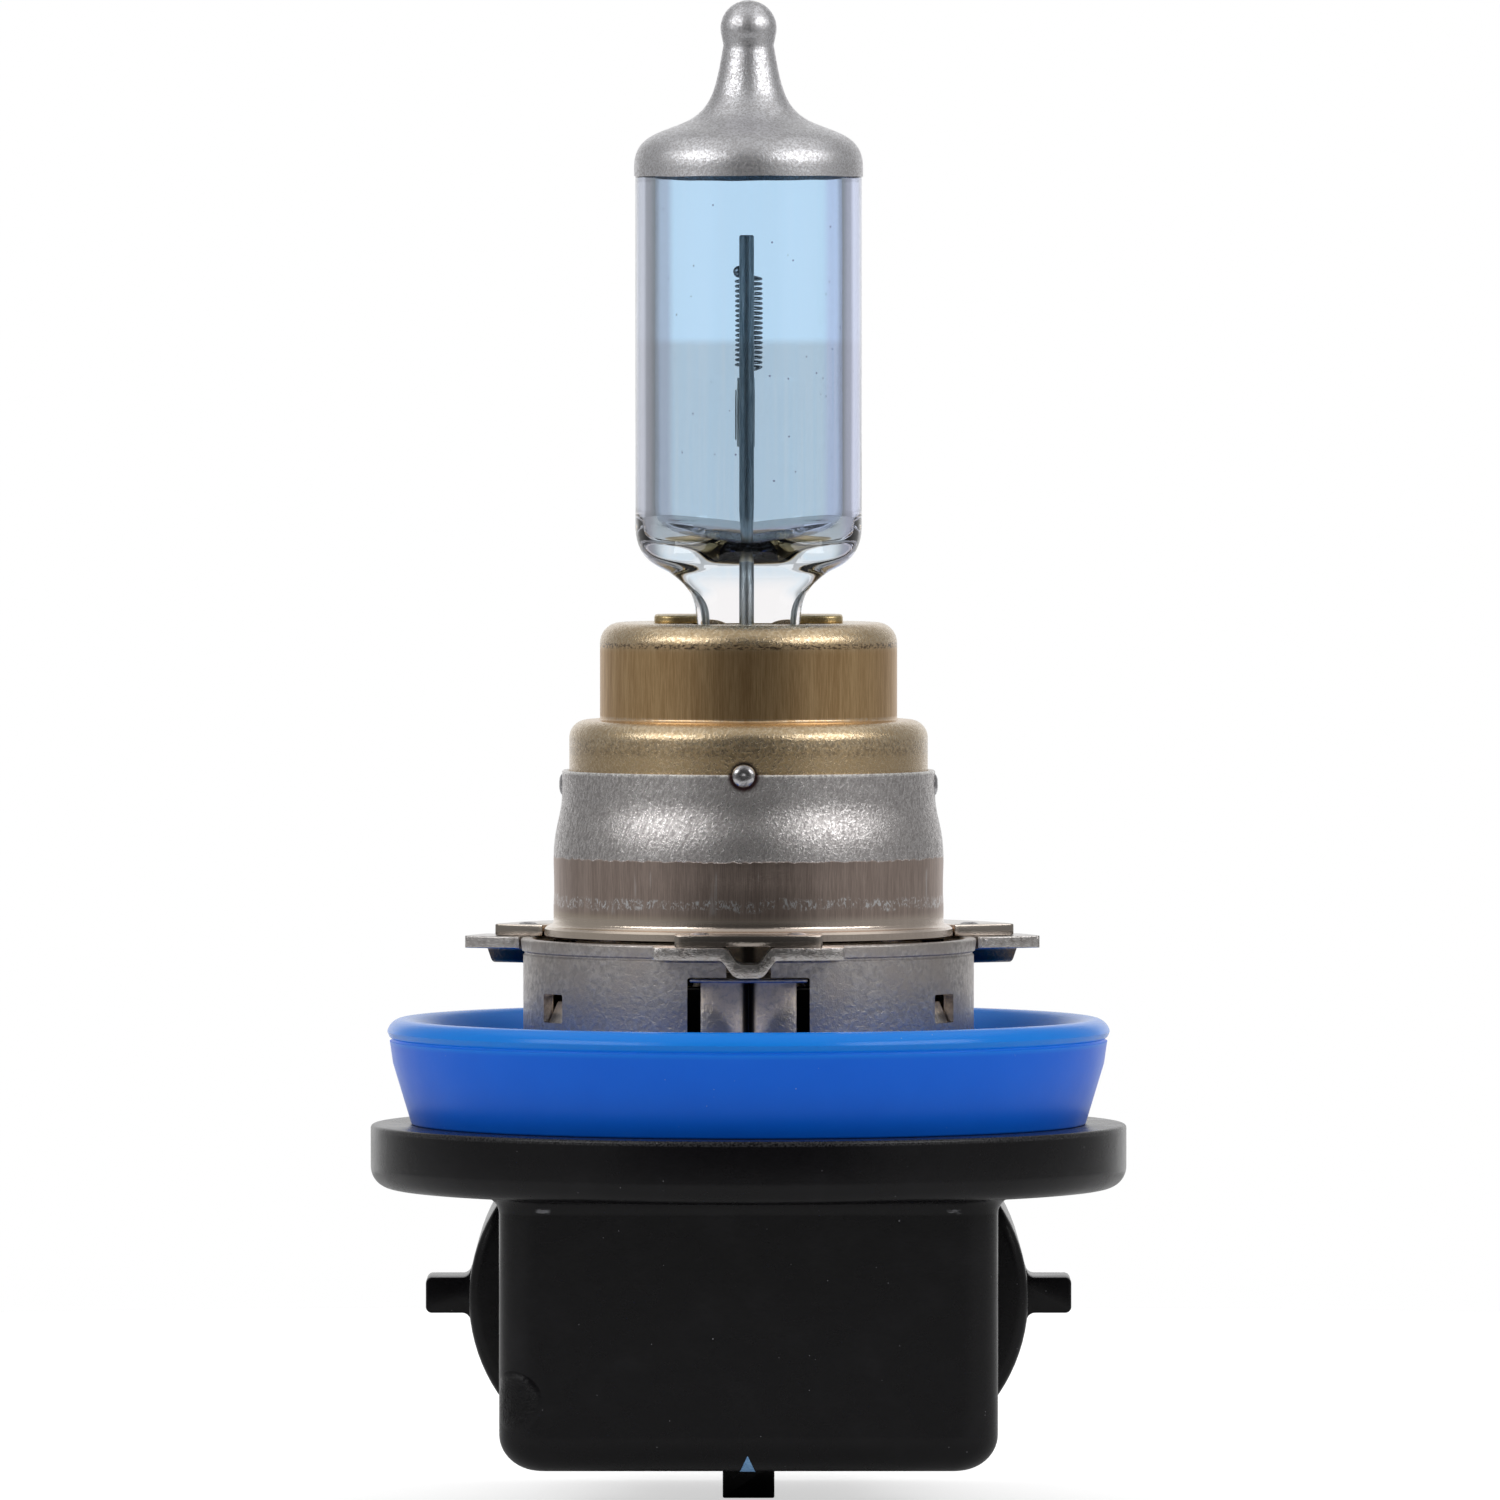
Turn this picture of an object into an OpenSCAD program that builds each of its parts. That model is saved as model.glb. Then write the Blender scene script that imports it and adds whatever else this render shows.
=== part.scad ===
// Halogen headlight bulb with a three-lug bayonet base and a right-angle, two-blade connector.
// Z is the optical axis and Z = 0 is the underside of the bayonet lugs, the lamp's reference plane.
// +Z points to the glass tip. The connector's mouth faces +Y, and the closed back faces -Y.

/* [Glass] */
// Outer diameter of the glass tube
glass_d = 9.44; // [9.2:0.02:9.6]
// Thickness of the glass wall
glass_wall = 0.82; // [0.7:0.02:0.9]
// Height of the exhaust tip's end
tip_top = 39.5; // [39:0.1:41]
// Height of the silver coating's lower edge
coat_edge = 32.2; // [31:0.1:32.4]
// Thickness of the pinched glass
pinch_t = 3.6; // [3.2:0.1:3.8]
// Width of the pinched glass
pinch_w = 8.6; // [8.2:0.1:8.8]

/* [Filament] */
// Height of the filament's centre
light_centre = 26.15; // [25.5:0.05:26.5]
// Length of the filament coil
coil_l = 3.7; // [3.2:0.1:4]
// Outer diameter of the filament coil
coil_d = 1.2; // [1:0.05:1.3]
// Turns in the filament coil
coil_turns = 18; // [14:1:20]
// Diameter of the tungsten wire
coil_wire_d = 0.11; // [0.1:0.01:0.13]
// Diameter of the support wires
support_d = 0.6; // [0.5:0.02:0.7]

/* [Metal base] */
// Diameter of the upper drum of the burner holder
cap_upper_d = 12.38; // [12:0.02:12.6]
// Diameter of the lower drum of the burner holder
cap_lower_d = 14.94; // [14.8:0.02:15]
// Outer diameter of the focus collar
collar_d = 16.25; // [16.1:0.05:16.4]
// Diameter of the barrel that the lamp's hole centres
barrel_d = 18.78; // [18.7:0.02:18.9]
// Radius that the bayonet lugs reach
lug_reach = 12.1; // [11.8:0.1:12.4]
// Extra reach of the bayonet lug on the right
long_lug_extra = 0.35; // [0:0.05:0.5]
// Width of a bayonet lug
lug_w = 7.9; // [7.4:0.1:8.4]
// Thickness of the bayonet ring's plate
plate_t = 0.5; // [0.45:0.05:0.55]

/* [Plastic base] */
// Diameter of the round flange
flange_d = 31.5; // [31.2:0.1:32]
// Thickness of the round flange
flange_t = 2.65; // [2.4:0.05:2.8]
// Largest diameter of the sealing lip
seal_d = 30.16; // [30:0.02:30.4]
// Width of the housing's closed back
back_w = 20.6; // [20:0.1:21]
// Distance from the axis to the closed back face
back_reach = 9.5; // [9:0.1:10]
// Distance from the axis to the connector's mouth
mouth_reach = 19.5; // [18.5:0.1:21]
// Width of the connector's oval shroud
shroud_w = 23.46; // [23:0.02:24]
// Height of the connector's oval shroud
shroud_h = 14.3; // [14:0.1:15]

/* [Hidden] */
$fn = 96;
lug_angles = [0, 120, 240];      // measured from the closed back, -Y
window_angles = [60, 180, 300];

// Glass
glass_r = glass_d / 2;
bore_r = glass_r - glass_wall;
tip_r = 1.12;                    // ball at the end of the exhaust tip
shoulder_z = 32.6;               // the tube's sides end here, and the dome begins
heel_z = 17.6;                   // the tube's sides start to draw in towards the pinch
neck_z = 14.2;                   // the drawn-in neck is narrowest here
neck_half = 2.27;
cavity_floor = 16.25;            // the hollow ends here, above the solid pinch
pinch_bottom = 5;
wire_y = 1.9;                    // the support wires stand this far before and behind the axis
wire_x = -0.08;
long_wire_top = 29.8;
short_wire_top = 23.8;
foil_t = 0.1;
foil_w = 2.2;
foil_z = [6.4, 10.4];
lead_r = 0.32;

// Burner holder and collar
cap_top = 13.65;
cap_step = 9.6;
cap_bottom = 3.2;
cap_t = 0.4;
slot_half = [2.35, 4.65];
clamp_t = 0.16;
clamp_reach = 3.92;
clamp_leaf_w = 4.4;
clamp_bottom = 7.4;
clamp_washer_t = 0.3;
collar_top = 7.5;
collar_lip_r = 7.77;             // the collar narrows to this at its upper edge
collar_t = 0.27;
collar_flange_r = 8.5;
collar_flange_z = [plate_t + 0.05, plate_t + 0.5];
collar_lug_reach = [10.95, 11.5, 10.95]; // the lug on the right is the longest, as on the ring
collar_lug_w = 6.1;
weld_r = 0.49;
weld_dome_r = 0.95;              // the welds on the collar are flat domes of this radius
weld_spots = [[-1.5, collar_top - 0.06], [88.5, 6.9], [178.5, collar_top - 0.06],
              [268.5, 6.9]];     // angle and height of each

// Bayonet ring
barrel_r = barrel_d / 2;
barrel_t = 0.45;
rim_r = barrel_r + 0.1;
seal_seat = [barrel_r - 0.04, -5.05];  // the barrel is a little narrower below this height
bead_depth = 0.73;               // the lugs' pressed beads reach this far below the lugs
tongue_window = [5.05, -0.81, -5.6]; // width, upper edge, lower edge
tongue_w = 4;
tongue_top = -1;
snap_window = [1.57, -1.67, -2.86];

// Plastic base
flange_top = -7.25;
flange_r = flange_d / 2;
flange_bottom = flange_top - flange_t;
boss_r = 7.7;
boss_bore_r = 6.5;
boss_top = -1.25;
shroud_drop = 0.4;               // the shroud hangs this far below the flange's upper face
shroud_z = flange_top - shroud_drop - shroud_h / 2;
shroud_root = 4;
shroud_wall = 1.5;
socket_floor = 7;
back_bottom = -21.23;
back_corner_r = 1.9;
key_start = 7;
key_end = 11;
key_t = 1.5;
key_half_span = 13.58;
key_bottom = -23.35;
bottom_key_w = 2.18;
blade_x = 3.4;
blade_t = 0.8;
blade_w = 2.8;
blade_tip = 15.6;
riser_y = [-3, -0.2];
riser_top = -2.6;
mark_t = 0.04;

// ---- curves and small shapes ----

function arc(cx, cy, r, from, to, steps = 8) =
    [for (i = [0:steps]) let(a = from + (to - from) * i / steps) [cx + r * cos(a), cy + r * sin(a)]];

function bezier(a, b, c, d, steps = 10) =
    [for (i = [0:steps]) let(t = i / steps, u = 1 - t)
        u * u * u * a + 3 * u * u * t * b + 3 * u * t * t * c + t * t * t * d];

function mirrored_x(points) =
    concat(points, [for (i = [len(points) - 1:-1:0]) [-points[i][0], points[i][1]]]);

// A straight round bar between two points
module rod(a, b, r, fn = 24) {
    along = b - a;
    length = norm(along);
    translate(a)
        rotate([0, acos(along[2] / length), atan2(along[1], along[0])])
            cylinder(r = r, h = length, $fn = fn);
}

// A bent round wire through the given points. Its elbows are slightly swollen, as a real bend is.
module wire(points, r, fn = 24) {
    for (i = [0:len(points) - 2])
        rod(points[i], points[i + 1], r, fn);
    for (i = [1:len(points) - 2])
        translate(points[i])
            sphere(r = r * 1.06, $fn = fn);
}

module rounded_rect(size, r) {
    square([size[0], size[1] - 2 * r], center = true);
    square([size[0] - 2 * r, size[1]], center = true);
    for (x = [-1, 1], y = [-1, 1])
        translate([x * (size[0] / 2 - r), y * (size[1] / 2 - r)])
            circle(r = r, $fn = 48);
}

module stadium(w, h) {
    square([w - h, h], center = true);
    for (x = [-1, 1])
        translate([x * (w - h) / 2, 0])
            circle(d = h);
}

// Turns its children to each angle round the axis, where 0 faces the closed back
module around(angles) {
    for (a = angles)
        rotate([0, 0, a])
            children();
}

// ---- glass ----

// Outside of the dome and exhaust tip, from the tube's top edge to the tip's end
function dome_outline(grow = 0) =
    let(g = grow, tip_z = tip_top - tip_r)
    concat(
        [[glass_r + g, coat_edge]],
        bezier([glass_r + g, shoulder_z], [glass_r + g, shoulder_z + 1.35], [3.6 + g, shoulder_z + 1.42],
            [2.55 + g, shoulder_z + 1.9]),
        bezier([2.4 + g, shoulder_z + 1.98], [1.42 + g, shoulder_z + 2.5], [1.3 + g, shoulder_z + 3.4],
            [1 + g, tip_z - 0.7], 9),
        arc(0, tip_z, tip_r + g, -14, 90));

// Outside of the round glass below the dome, before the pinch flattens it
function tube_outline() =
    concat(
        [[0, neck_z - 0.4], [pinch_w / 2, neck_z - 0.4]],
        bezier([pinch_w / 2, neck_z + 0.2], [pinch_w / 2, neck_z + 1.4], [glass_r, neck_z + 1.6],
            [glass_r, heel_z], 8));

// Side view of the drawn-in neck, as a half outline
function neck_half_outline(inset = 0) =
    concat(
        bezier([glass_r - inset, heel_z + 0.1], [glass_r - inset, heel_z - 1.15],
            [4 - inset, heel_z - 1.5], [3.35 - inset, heel_z - 1.8], 8),
        bezier([3.3 - inset, heel_z - 1.83], [2.6 - inset, heel_z - 2.3], [neck_half - inset, neck_z + 0.7],
            [neck_half - inset, neck_z - 0.1], 8));

module flattened(points, depth) {
    rotate([90, 0, 0])
        linear_extrude(depth, center = true)
            polygon(points);
}

module glass_outside() {
    rotate_extrude()
        polygon(concat([[0, heel_z]], dome_outline(), [[0, tip_top]]));
    intersection() {
        rotate_extrude()
            polygon(concat(tube_outline(), [[glass_r, coat_edge], [0, coat_edge]]));
        flattened(
            mirrored_x(concat([[glass_r + 1, coat_edge + 1], [glass_r + 1, heel_z + 0.1]],
                neck_half_outline(), [[neck_half, neck_z - 1]])),
            3 * glass_d);
    }
    translate([-pinch_t / 2, -pinch_w / 2, pinch_bottom])
        cube([pinch_t, pinch_w, neck_z - pinch_bottom]);
}

// The hollow is round, with a shallow dish for a floor
module glass_cavity() {
    rotate_extrude()
        polygon(concat(
            [[0, cavity_floor]],
            bezier([1.3, cavity_floor], [3.2, cavity_floor + 0.15], [bore_r, cavity_floor + 0.9],
                [bore_r, heel_z + 0.7]),
            bezier([bore_r, shoulder_z], [bore_r, shoulder_z + 0.95], [2.7, shoulder_z + 1.1],
                [1.9, shoulder_z + 1.55], 8),
            [[0, shoulder_z + 2.6]]));
}

module support_wire_bores() {
    for (side = [-1, 1])
        translate([wire_x, side * wire_y, foil_z[1] - 0.6])
            cylinder(d = support_d, h = cavity_floor - foil_z[1] + 1.1, $fn = 32);
}

module glass_envelope() {
    color("lightblue", 0.5)
        difference() {
            glass_outside();
            glass_cavity();
            support_wire_bores();
            for (side = [-1, 1]) {
                pinch_foil(side);
                outer_lead(side);
            }
        }
}

module silver_tip_coat() {
    color("silver")
        difference() {
            rotate_extrude()
                polygon(concat([[0, coat_edge]], dome_outline(0.05), [[0, tip_top + 0.05]]));
            rotate_extrude()
                polygon(concat([[0, coat_edge - 1], [glass_r, coat_edge - 1]], dome_outline(),
                               [[0, tip_top]]));
        }
}

// ---- filament and its leads ----

// The coil's wire as a helix, with short straight tails at both ends
function coil_path(steps_per_turn = 10) =
    let(r = (coil_d - coil_wire_d) / 2, n = coil_turns * steps_per_turn, low = light_centre - coil_l / 2)
    [for (i = [0:n]) let(a = 360 * i / steps_per_turn) [r * cos(a), r * sin(a), low + coil_l * i / n]];

// A closed tube swept along a path. Its sections stand level with the path's direction from the axis.
module swept_tube(path, r, sides = 6) {
    last = len(path) - 1;
    points = [for (i = [0:last])
        let(
            ahead = path[min(i + 1, last)] - path[max(i - 1, 0)],
            t = ahead / norm(ahead),
            side_raw = cross(t, [0, 0, 1]),
            side = side_raw / norm(side_raw),
            up = cross(side, t))
        for (k = [0:sides - 1])
            let(a = 360 * k / sides) path[i] + r * (cos(a) * side + sin(a) * up)];
    walls = [for (i = [0:last - 1], k = [0:sides - 1])
        [i * sides + k, i * sides + (k + 1) % sides, (i + 1) * sides + (k + 1) % sides, (i + 1) * sides + k]];
    ends = [[for (k = [sides - 1:-1:0]) k], [for (k = [0:sides - 1]) last * sides + k]];
    polyhedron(points, concat(walls, ends), convexity = 10);
}

module filament_coil() {
    r = (coil_d - coil_wire_d) / 2;
    low = light_centre - coil_l / 2;
    high = light_centre + coil_l / 2;
    color("dimgray") {
        swept_tube(coil_path(), coil_wire_d / 2);
        wire([[r, 0, high], [0, -wire_y * 0.45, high + 0.14],
            [wire_x, -wire_y + support_d / 2 + coil_wire_d / 2, high + 0.25]], coil_wire_d / 2, 12);
        wire([[r, 0, low], [0.05, wire_y * 0.45, low - 0.16],
            [wire_x, wire_y - support_d / 2 - coil_wire_d / 2, low - 0.5]], coil_wire_d / 2, 12);
    }
}

module filament_weld_bead() {
    bead_at = [wire_x - 0.3, -wire_y + 0.3, light_centre + coil_l / 2 + 0.28];
    color("gray")
        difference() {
            translate(bead_at)
                sphere(r = 0.26, $fn = 32);
            long_support_wire();
            filament_coil();
        }
}

module filament_clip() {
    clip_z = [20.95, 23.85];
    color("gray")
        difference() {
            union() {
                translate([wire_x - 0.42, wire_y - 0.45, clip_z[0]])
                    cube([0.76, 0.9, clip_z[1] - clip_z[0]]);
                translate([wire_x - 0.5, wire_y - 0.35, clip_z[0] + 0.3])
                    cube([0.2, 0.5, 2.1]);
            }
            short_support_wire();
            filament_coil();
        }
}

module long_support_wire() {
    color("slategray")
        translate([wire_x, -wire_y, foil_z[1] - 0.6])
            cylinder(d = support_d, h = long_wire_top - foil_z[1] + 0.6, $fn = 32);
}

module short_support_wire() {
    color("slategray")
        translate([wire_x, wire_y, foil_z[1] - 0.6])
            cylinder(d = support_d, h = short_wire_top - foil_z[1] + 0.6, $fn = 32);
}

module pinch_foil(side) {
    color("lightgray")
        difference() {
            translate([-foil_t / 2, side * wire_y - foil_w / 2, foil_z[0]])
                cube([foil_t, foil_w, foil_z[1] - foil_z[0]]);
            support_wire_bores();
            outer_lead(side);
        }
}

// From the foil down through the pinch, then out to the terminal's riser
module outer_lead(side) {
    weld_x = side * (blade_x - blade_t / 2 - lead_r);
    weld_y = (riser_y[0] + riser_y[1]) / 2;
    color("lightgray")
        wire([[0, side * wire_y, foil_z[0] + 0.6], [0, side * wire_y, pinch_bottom - 2],
            [weld_x, weld_y, riser_top - 0.4], [weld_x, weld_y, riser_top - 2.4]], lead_r);
}

// ---- metal base ----

function cap_outline(inset) =
    let(upper = cap_upper_d / 2 - inset, lower = cap_lower_d / 2 - inset, r = 0.75 - inset)
    concat(
        [[0, cap_bottom], [lower, cap_bottom]],
        arc(lower - r, cap_step - inset - r, r, 0, 90),
        [[upper + 0.12, cap_step - inset], [upper, cap_step - inset + 0.12]],
        arc(upper - r, cap_top - inset - r, r, 0, 90),
        [[0, cap_top - inset]]);

module burner_holder_cap() {
    color("darkgoldenrod")
        difference() {
            rotate_extrude()
                polygon(cap_outline(0));
            translate([0, 0, -1])
                rotate_extrude()
                    polygon(concat([[0, 0]], [for (p = cap_outline(cap_t)) p + [0, 1]]));
            translate([-slot_half[0], -slot_half[1], cap_top - 2])
                cube([2 * slot_half[0], 2 * slot_half[1], 3]);
        }
}

// Leaf on one side of the pinch: up its face, flat over the slot's edge, and curled down onto the cap
function clamp_leaf_outline() =
    let(t = clamp_t, x = pinch_t / 2, top = cap_top + 0.32, curl = 0.34)
    concat(
        [[x, clamp_bottom], [x + t, clamp_bottom]],
        arc(x + t + 0.2, top - t - 0.2, 0.2, 180, 90, 5),
        arc(clamp_reach - curl, top - curl, curl - t, 90, 0, 5),
        arc(clamp_reach - curl, top - curl, curl, 0, 90, 6),
        arc(x + 0.35, top - 0.35, 0.35, 90, 180, 6));

module clamp_leaf() {
    rotate([90, 0, 0])
        linear_extrude(clamp_leaf_w, center = true)
            polygon(clamp_leaf_outline());
}

module pinch_clamp() {
    washer_z = cap_top - cap_t - clamp_washer_t;
    color("goldenrod")
        difference() {
            union() {
                clamp_leaf();
                rotate([0, 0, 180])
                    clamp_leaf();
                translate([0, 0, washer_z])
                    cylinder(r = cap_upper_d / 2 - cap_t - 0.4, h = clamp_washer_t);
            }
            translate([-pinch_t / 2, -pinch_w / 2 - 0.1, washer_z - 1])
                cube([pinch_t, pinch_w + 0.2, clamp_washer_t + 2]);
        }
}

function collar_outline(inset) =
    let(low = collar_d / 2 - inset, high = collar_lip_r - inset)
    concat(
        [[low, collar_flange_z[1]], [low - 0.03, 3.2], [low, 3.5]],
        bezier([low, 3.9], [low, 5], [high + 0.04, 5.3], [high, 6.2], 8),
        [[high, collar_top]]);

module lug_plan(reach, w) {
    intersection() {
        circle(r = reach);
        translate([-w / 2, -reach - 1])
            square([w, reach + 1]);
    }
}

module focus_collar() {
    flange_h = collar_flange_z[1] - collar_flange_z[0];
    color("silver")
        difference() {
            union() {
                rotate_extrude()
                    polygon(concat(collar_outline(0), [for (i = [len(collar_outline(0)) - 1:-1:0])
                        collar_outline(collar_t)[i]]));
                translate([0, 0, collar_flange_z[0]])
                    cylinder(r = collar_flange_r, h = flange_h);
                translate([0, 0, plate_t])
                    linear_extrude(flange_h + 0.02)
                        for (i = [0:2])
                            rotate(lug_angles[i])
                                lug_plan(collar_lug_reach[i], collar_lug_w);
            }
            translate([0, 0, -1])
                cylinder(r = collar_d / 2 - collar_t, h = collar_flange_z[1] + 1);
        }
}

module collar_weld_spots() {
    color("gainsboro")
        difference() {
            for (spot = weld_spots)
                rotate(spot[0])
                    translate([0, 0, spot[1]])
                        intersection() {
                            translate([0, -collar_lip_r - 0.13 + weld_dome_r, 0])
                                sphere(r = weld_dome_r, $fn = 48);
                            translate([0, -collar_lip_r + 0.4, 0])
                                rotate([90, 0, 0])
                                    cylinder(r = weld_r, h = 1, $fn = 32);
                        }
            cylinder(r = collar_lip_r, h = collar_top);
            rotate_extrude()
                polygon(cap_outline(0));
        }
}

// Lug seen from its end: a flat strip with a bead pressed down in its middle
function lug_outline() =
    let(t = plate_t, half = lug_w / 2)
    [[-half, t], [-0.95, t], [-0.42, t - bead_depth], [0.42, t - bead_depth], [0.95, t], [half, t],
        [half, 0], [1.12, 0], [0.76, -bead_depth + 0.4], [0.42, -bead_depth], [-0.42, -bead_depth],
        [-0.76, -bead_depth + 0.4], [-1.12, 0], [-half, 0]];

module bayonet_lug(reach) {
    intersection() {
        rotate([90, 0, 0])
            linear_extrude(reach + 1)
                polygon(lug_outline());
        translate([0, 0, -2])
            difference() {
                cylinder(r = reach, h = 4);
                translate([0, 0, -1])
                    cylinder(r = barrel_r - barrel_t / 2, h = 6);
            }
    }
}

// Springy tongue inside a window: two shallow waves side by side
module lock_tongue() {
    t = 0.28;
    wave = concat(
        arc(-1, 1.9, 2.2, 244, 296, 8),
        arc(1, 1.9, 2.2, 244, 296, 8));
    translate([0, -barrel_r + barrel_t + 0.55, -6.6])
        linear_extrude(tongue_top + 6.6)
            polygon(concat(wave, [for (i = [len(wave) - 1:-1:0]) wave[i] + [0, t]]));
    translate([-tongue_w / 2, -barrel_r + barrel_t / 2, -6.6])
        cube([tongue_w, 0.95, 0.9]);
}

module snap_lance() {
    translate([-snap_window[0] / 2 + 0.1, -barrel_r + 0.14, snap_window[2] - 0.16])
        rotate([-26, 0, 0])
            cube([snap_window[0] - 0.2, 0.25, 1.1]);
}

module bayonet_ring() {
    color("silver") {
        difference() {
            union() {
                translate([0, 0, flange_top])
                    cylinder(r = seal_seat[0], h = plate_t - flange_top);
                translate([0, 0, seal_seat[1]])
                    cylinder(r = barrel_r, h = plate_t - seal_seat[1]);
                cylinder(r = rim_r, h = plate_t);
            }
            translate([0, 0, flange_top - 1])
                cylinder(r = barrel_r - barrel_t, h = plate_t - flange_top + 2);
            around(lug_angles) {
                translate([-0.95, -lug_reach, tongue_window[1] - 0.5])
                    cube([1.9, lug_reach, 3]);
                translate([-tongue_window[0] / 2, -lug_reach, tongue_window[2]])
                    cube([tongue_window[0], lug_reach, tongue_window[1] - tongue_window[2]]);
            }
            around(window_angles)
                translate([-snap_window[0] / 2, -lug_reach, snap_window[2]])
                    cube([snap_window[0], lug_reach, snap_window[1] - snap_window[2]]);
        }
        for (i = [0:2])
            rotate(lug_angles[i]) {
                bayonet_lug(lug_reach + (i == 1 ? long_lug_extra : 0));
                lock_tongue();
            }
        around(window_angles)
            snap_lance();
    }
}

module flange_weld_spots() {
    spot_z = plate_t + collar_flange_z[1] - collar_flange_z[0] + 0.02;
    color("gainsboro")
        around(lug_angles)
            for (x = [-2, 2])
                translate([x, -9.5, spot_z])
                    cylinder(r1 = 0.42, r2 = 0.25, h = 0.1, $fn = 32);
}

// ---- plastic base and seal ----

function seal_outline() =
    let(r = seal_d / 2, inner = seal_seat[0] + 0.01)
    concat(
        [[inner, flange_top], [13.9, flange_top]],
        [[14.08, flange_top + 0.12], [r - 0.17, -3.72], [r - 0.05, -3.62]],
        arc(r - 0.62, -3.47, 0.62, -4, 100, 8),
        bezier([r - 1.05, -2.97], [r - 1.9, -3.5], [12.4, -5.7], [11.2, -5.8], 10),
        [[10.3, -5.8]],
        arc(10, -5.5, 0.3, -90, -180, 4),
        [[9.7, -5.3]],
        [[inner, seal_seat[1] - 0.05]]);

module lip_seal() {
    color("dodgerblue")
        rotate_extrude()
            polygon(seal_outline());
}

// Box with rounded front and lower edges that closes the connector's rear
module closed_back() {
    height = flange_top - back_bottom;
    middle = flange_top - height / 2;
    depth = back_reach + shroud_root + 1;
    intersection() {
        translate([-back_w, -back_reach, back_bottom])
            cube([2 * back_w, depth, height]);
        translate([0, 3 - back_reach + depth / 2, back_bottom - 1])
            linear_extrude(height + 2)
                rounded_rect([back_w, depth + 6], back_corner_r);
        translate([0, 0, middle])
            rotate([90, 0, 0])
                linear_extrude(60, center = true)
                    translate([0, 3])
                        rounded_rect([back_w + 0.02, height + 6], 1.7);
        translate([0, -back_reach + depth / 2, middle])
            rotate([90, 0, 90])
                linear_extrude(60, center = true)
                    translate([3, 3])
                        rounded_rect([depth + 6, height + 6], 1.3);
    }
}

// Concave fillet under the flange, round the closed back
module back_cove(r = 0.75) {
    cove = concat([[-0.3, 0.3], [r, 0.3], [r, 0]], arc(r, -r, r, 90, 180, 6), [[-0.3, -r]]);
    half = back_w / 2;
    straight = back_reach - back_corner_r;
    translate([0, 0, flange_bottom]) {
        for (side = [-1, 1]) {
            translate([side * half, shroud_root, 0])
                rotate([90, 0, 0])
                    linear_extrude(straight + shroud_root)
                        scale([side, 1])
                            polygon(cove);
            translate([side * (half - back_corner_r), -straight, 0])
                rotate([0, 0, side > 0 ? -90 : 180])
                    rotate_extrude(angle = 90)
                        translate([back_corner_r, 0])
                            polygon(cove);
        }
        translate([-half + back_corner_r, -back_reach, 0])
            rotate([90, 0, 90])
                linear_extrude(back_w - 2 * back_corner_r)
                    scale([-1, 1])
                        polygon(cove);
    }
}

module shroud_solid(w, h, from, to) {
    translate([0, to, shroud_z])
        rotate([90, 0, 0])
            linear_extrude(to - from)
                stadium(w, h);
}

// Cross-section of a side key, rounded at its edges and filleted into the shroud
function key_outline() =
    let(root = shroud_w / 2 - 0.03, half = key_t / 2, f = 0.35, r = 0.25)
    concat(
        [[root - 1, -half - f]],
        arc(root + f, -half - f, f, 180, 90, 5),
        arc(key_half_span - r, -half + r, r, -90, 0, 5),
        arc(key_half_span - r, half - r, r, 0, 90, 5),
        arc(root + f, half + f, f, 270, 180, 5),
        [[root - 1, half + f]]);

module connector_keys() {
    for (side = [-1, 1])
        translate([0, key_end, shroud_z])
            rotate([90, 0, 0])
                linear_extrude(key_end - key_start)
                    scale([side, 1])
                        polygon(key_outline());
    translate([-bottom_key_w / 2, key_start, key_bottom])
        cube([bottom_key_w, key_end - key_start, shroud_z - shroud_h / 2 - key_bottom + 1]);
}

module boss() {
    translate([0, 0, flange_top - 0.5])
        cylinder(r = boss_r, h = boss_top - flange_top + 0.5);
    around(window_angles)
        intersection() {
            translate([-1.6, -barrel_r + barrel_t + 0.02, flange_top - 0.5])
                cube([3.2, 2, snap_window[2] - 0.25 - flange_top + 0.5]);
            translate([0, 0, flange_top - 0.5])
                cylinder(r = barrel_r - barrel_t - 0.02, h = 10);
        }
}

module flange() {
    r = 0.9;
    rotate_extrude()
        polygon(concat(
            [[0, flange_top], [flange_r - 0.15, flange_top], [flange_r, flange_top - 0.15]],
            arc(flange_r - r, flange_bottom + r, r, 0, -90),
            [[0, flange_bottom]]));
}

module base_housing() {
    color([0.1, 0.1, 0.11])
        difference() {
            union() {
                flange();
                boss();
                closed_back();
                back_cove();
                shroud_solid(shroud_w, shroud_h, shroud_root, mouth_reach);
                connector_keys();
            }
            shroud_solid(shroud_w - 2 * shroud_wall, shroud_h - 2 * shroud_wall, socket_floor,
                         mouth_reach + 1);
            translate([0, 0, flange_bottom - 1])
                cylinder(r = boss_bore_r, h = boss_top - flange_bottom + 3);
            translate([-back_w / 2 + 2, -back_reach + 2, back_bottom + 2])
                cube([back_w - 4, back_reach + shroud_root - 2.5, flange_bottom - back_bottom - 2.5]);
            for (side = [-1, 1])
                terminal(side);
        }
}

// Flat blade in the socket that turns up inside the housing to meet the lead
module terminal(side) {
    color("lightgray")
        translate([side * blade_x - blade_t / 2, 0, 0])
            rotate([90, 0, 90])
                linear_extrude(blade_t)
                    polygon([
                        [riser_y[0], riser_top], [riser_y[1], riser_top],
                        [riser_y[1], shroud_z + blade_w / 2], [blade_tip - 0.8, shroud_z + blade_w / 2],
                        [blade_tip, shroud_z + blade_w / 2 - 0.8], [blade_tip, shroud_z - blade_w / 2 + 0.8],
                        [blade_tip - 0.8, shroud_z - blade_w / 2], [riser_y[0], shroud_z - blade_w / 2]]);
}

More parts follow.
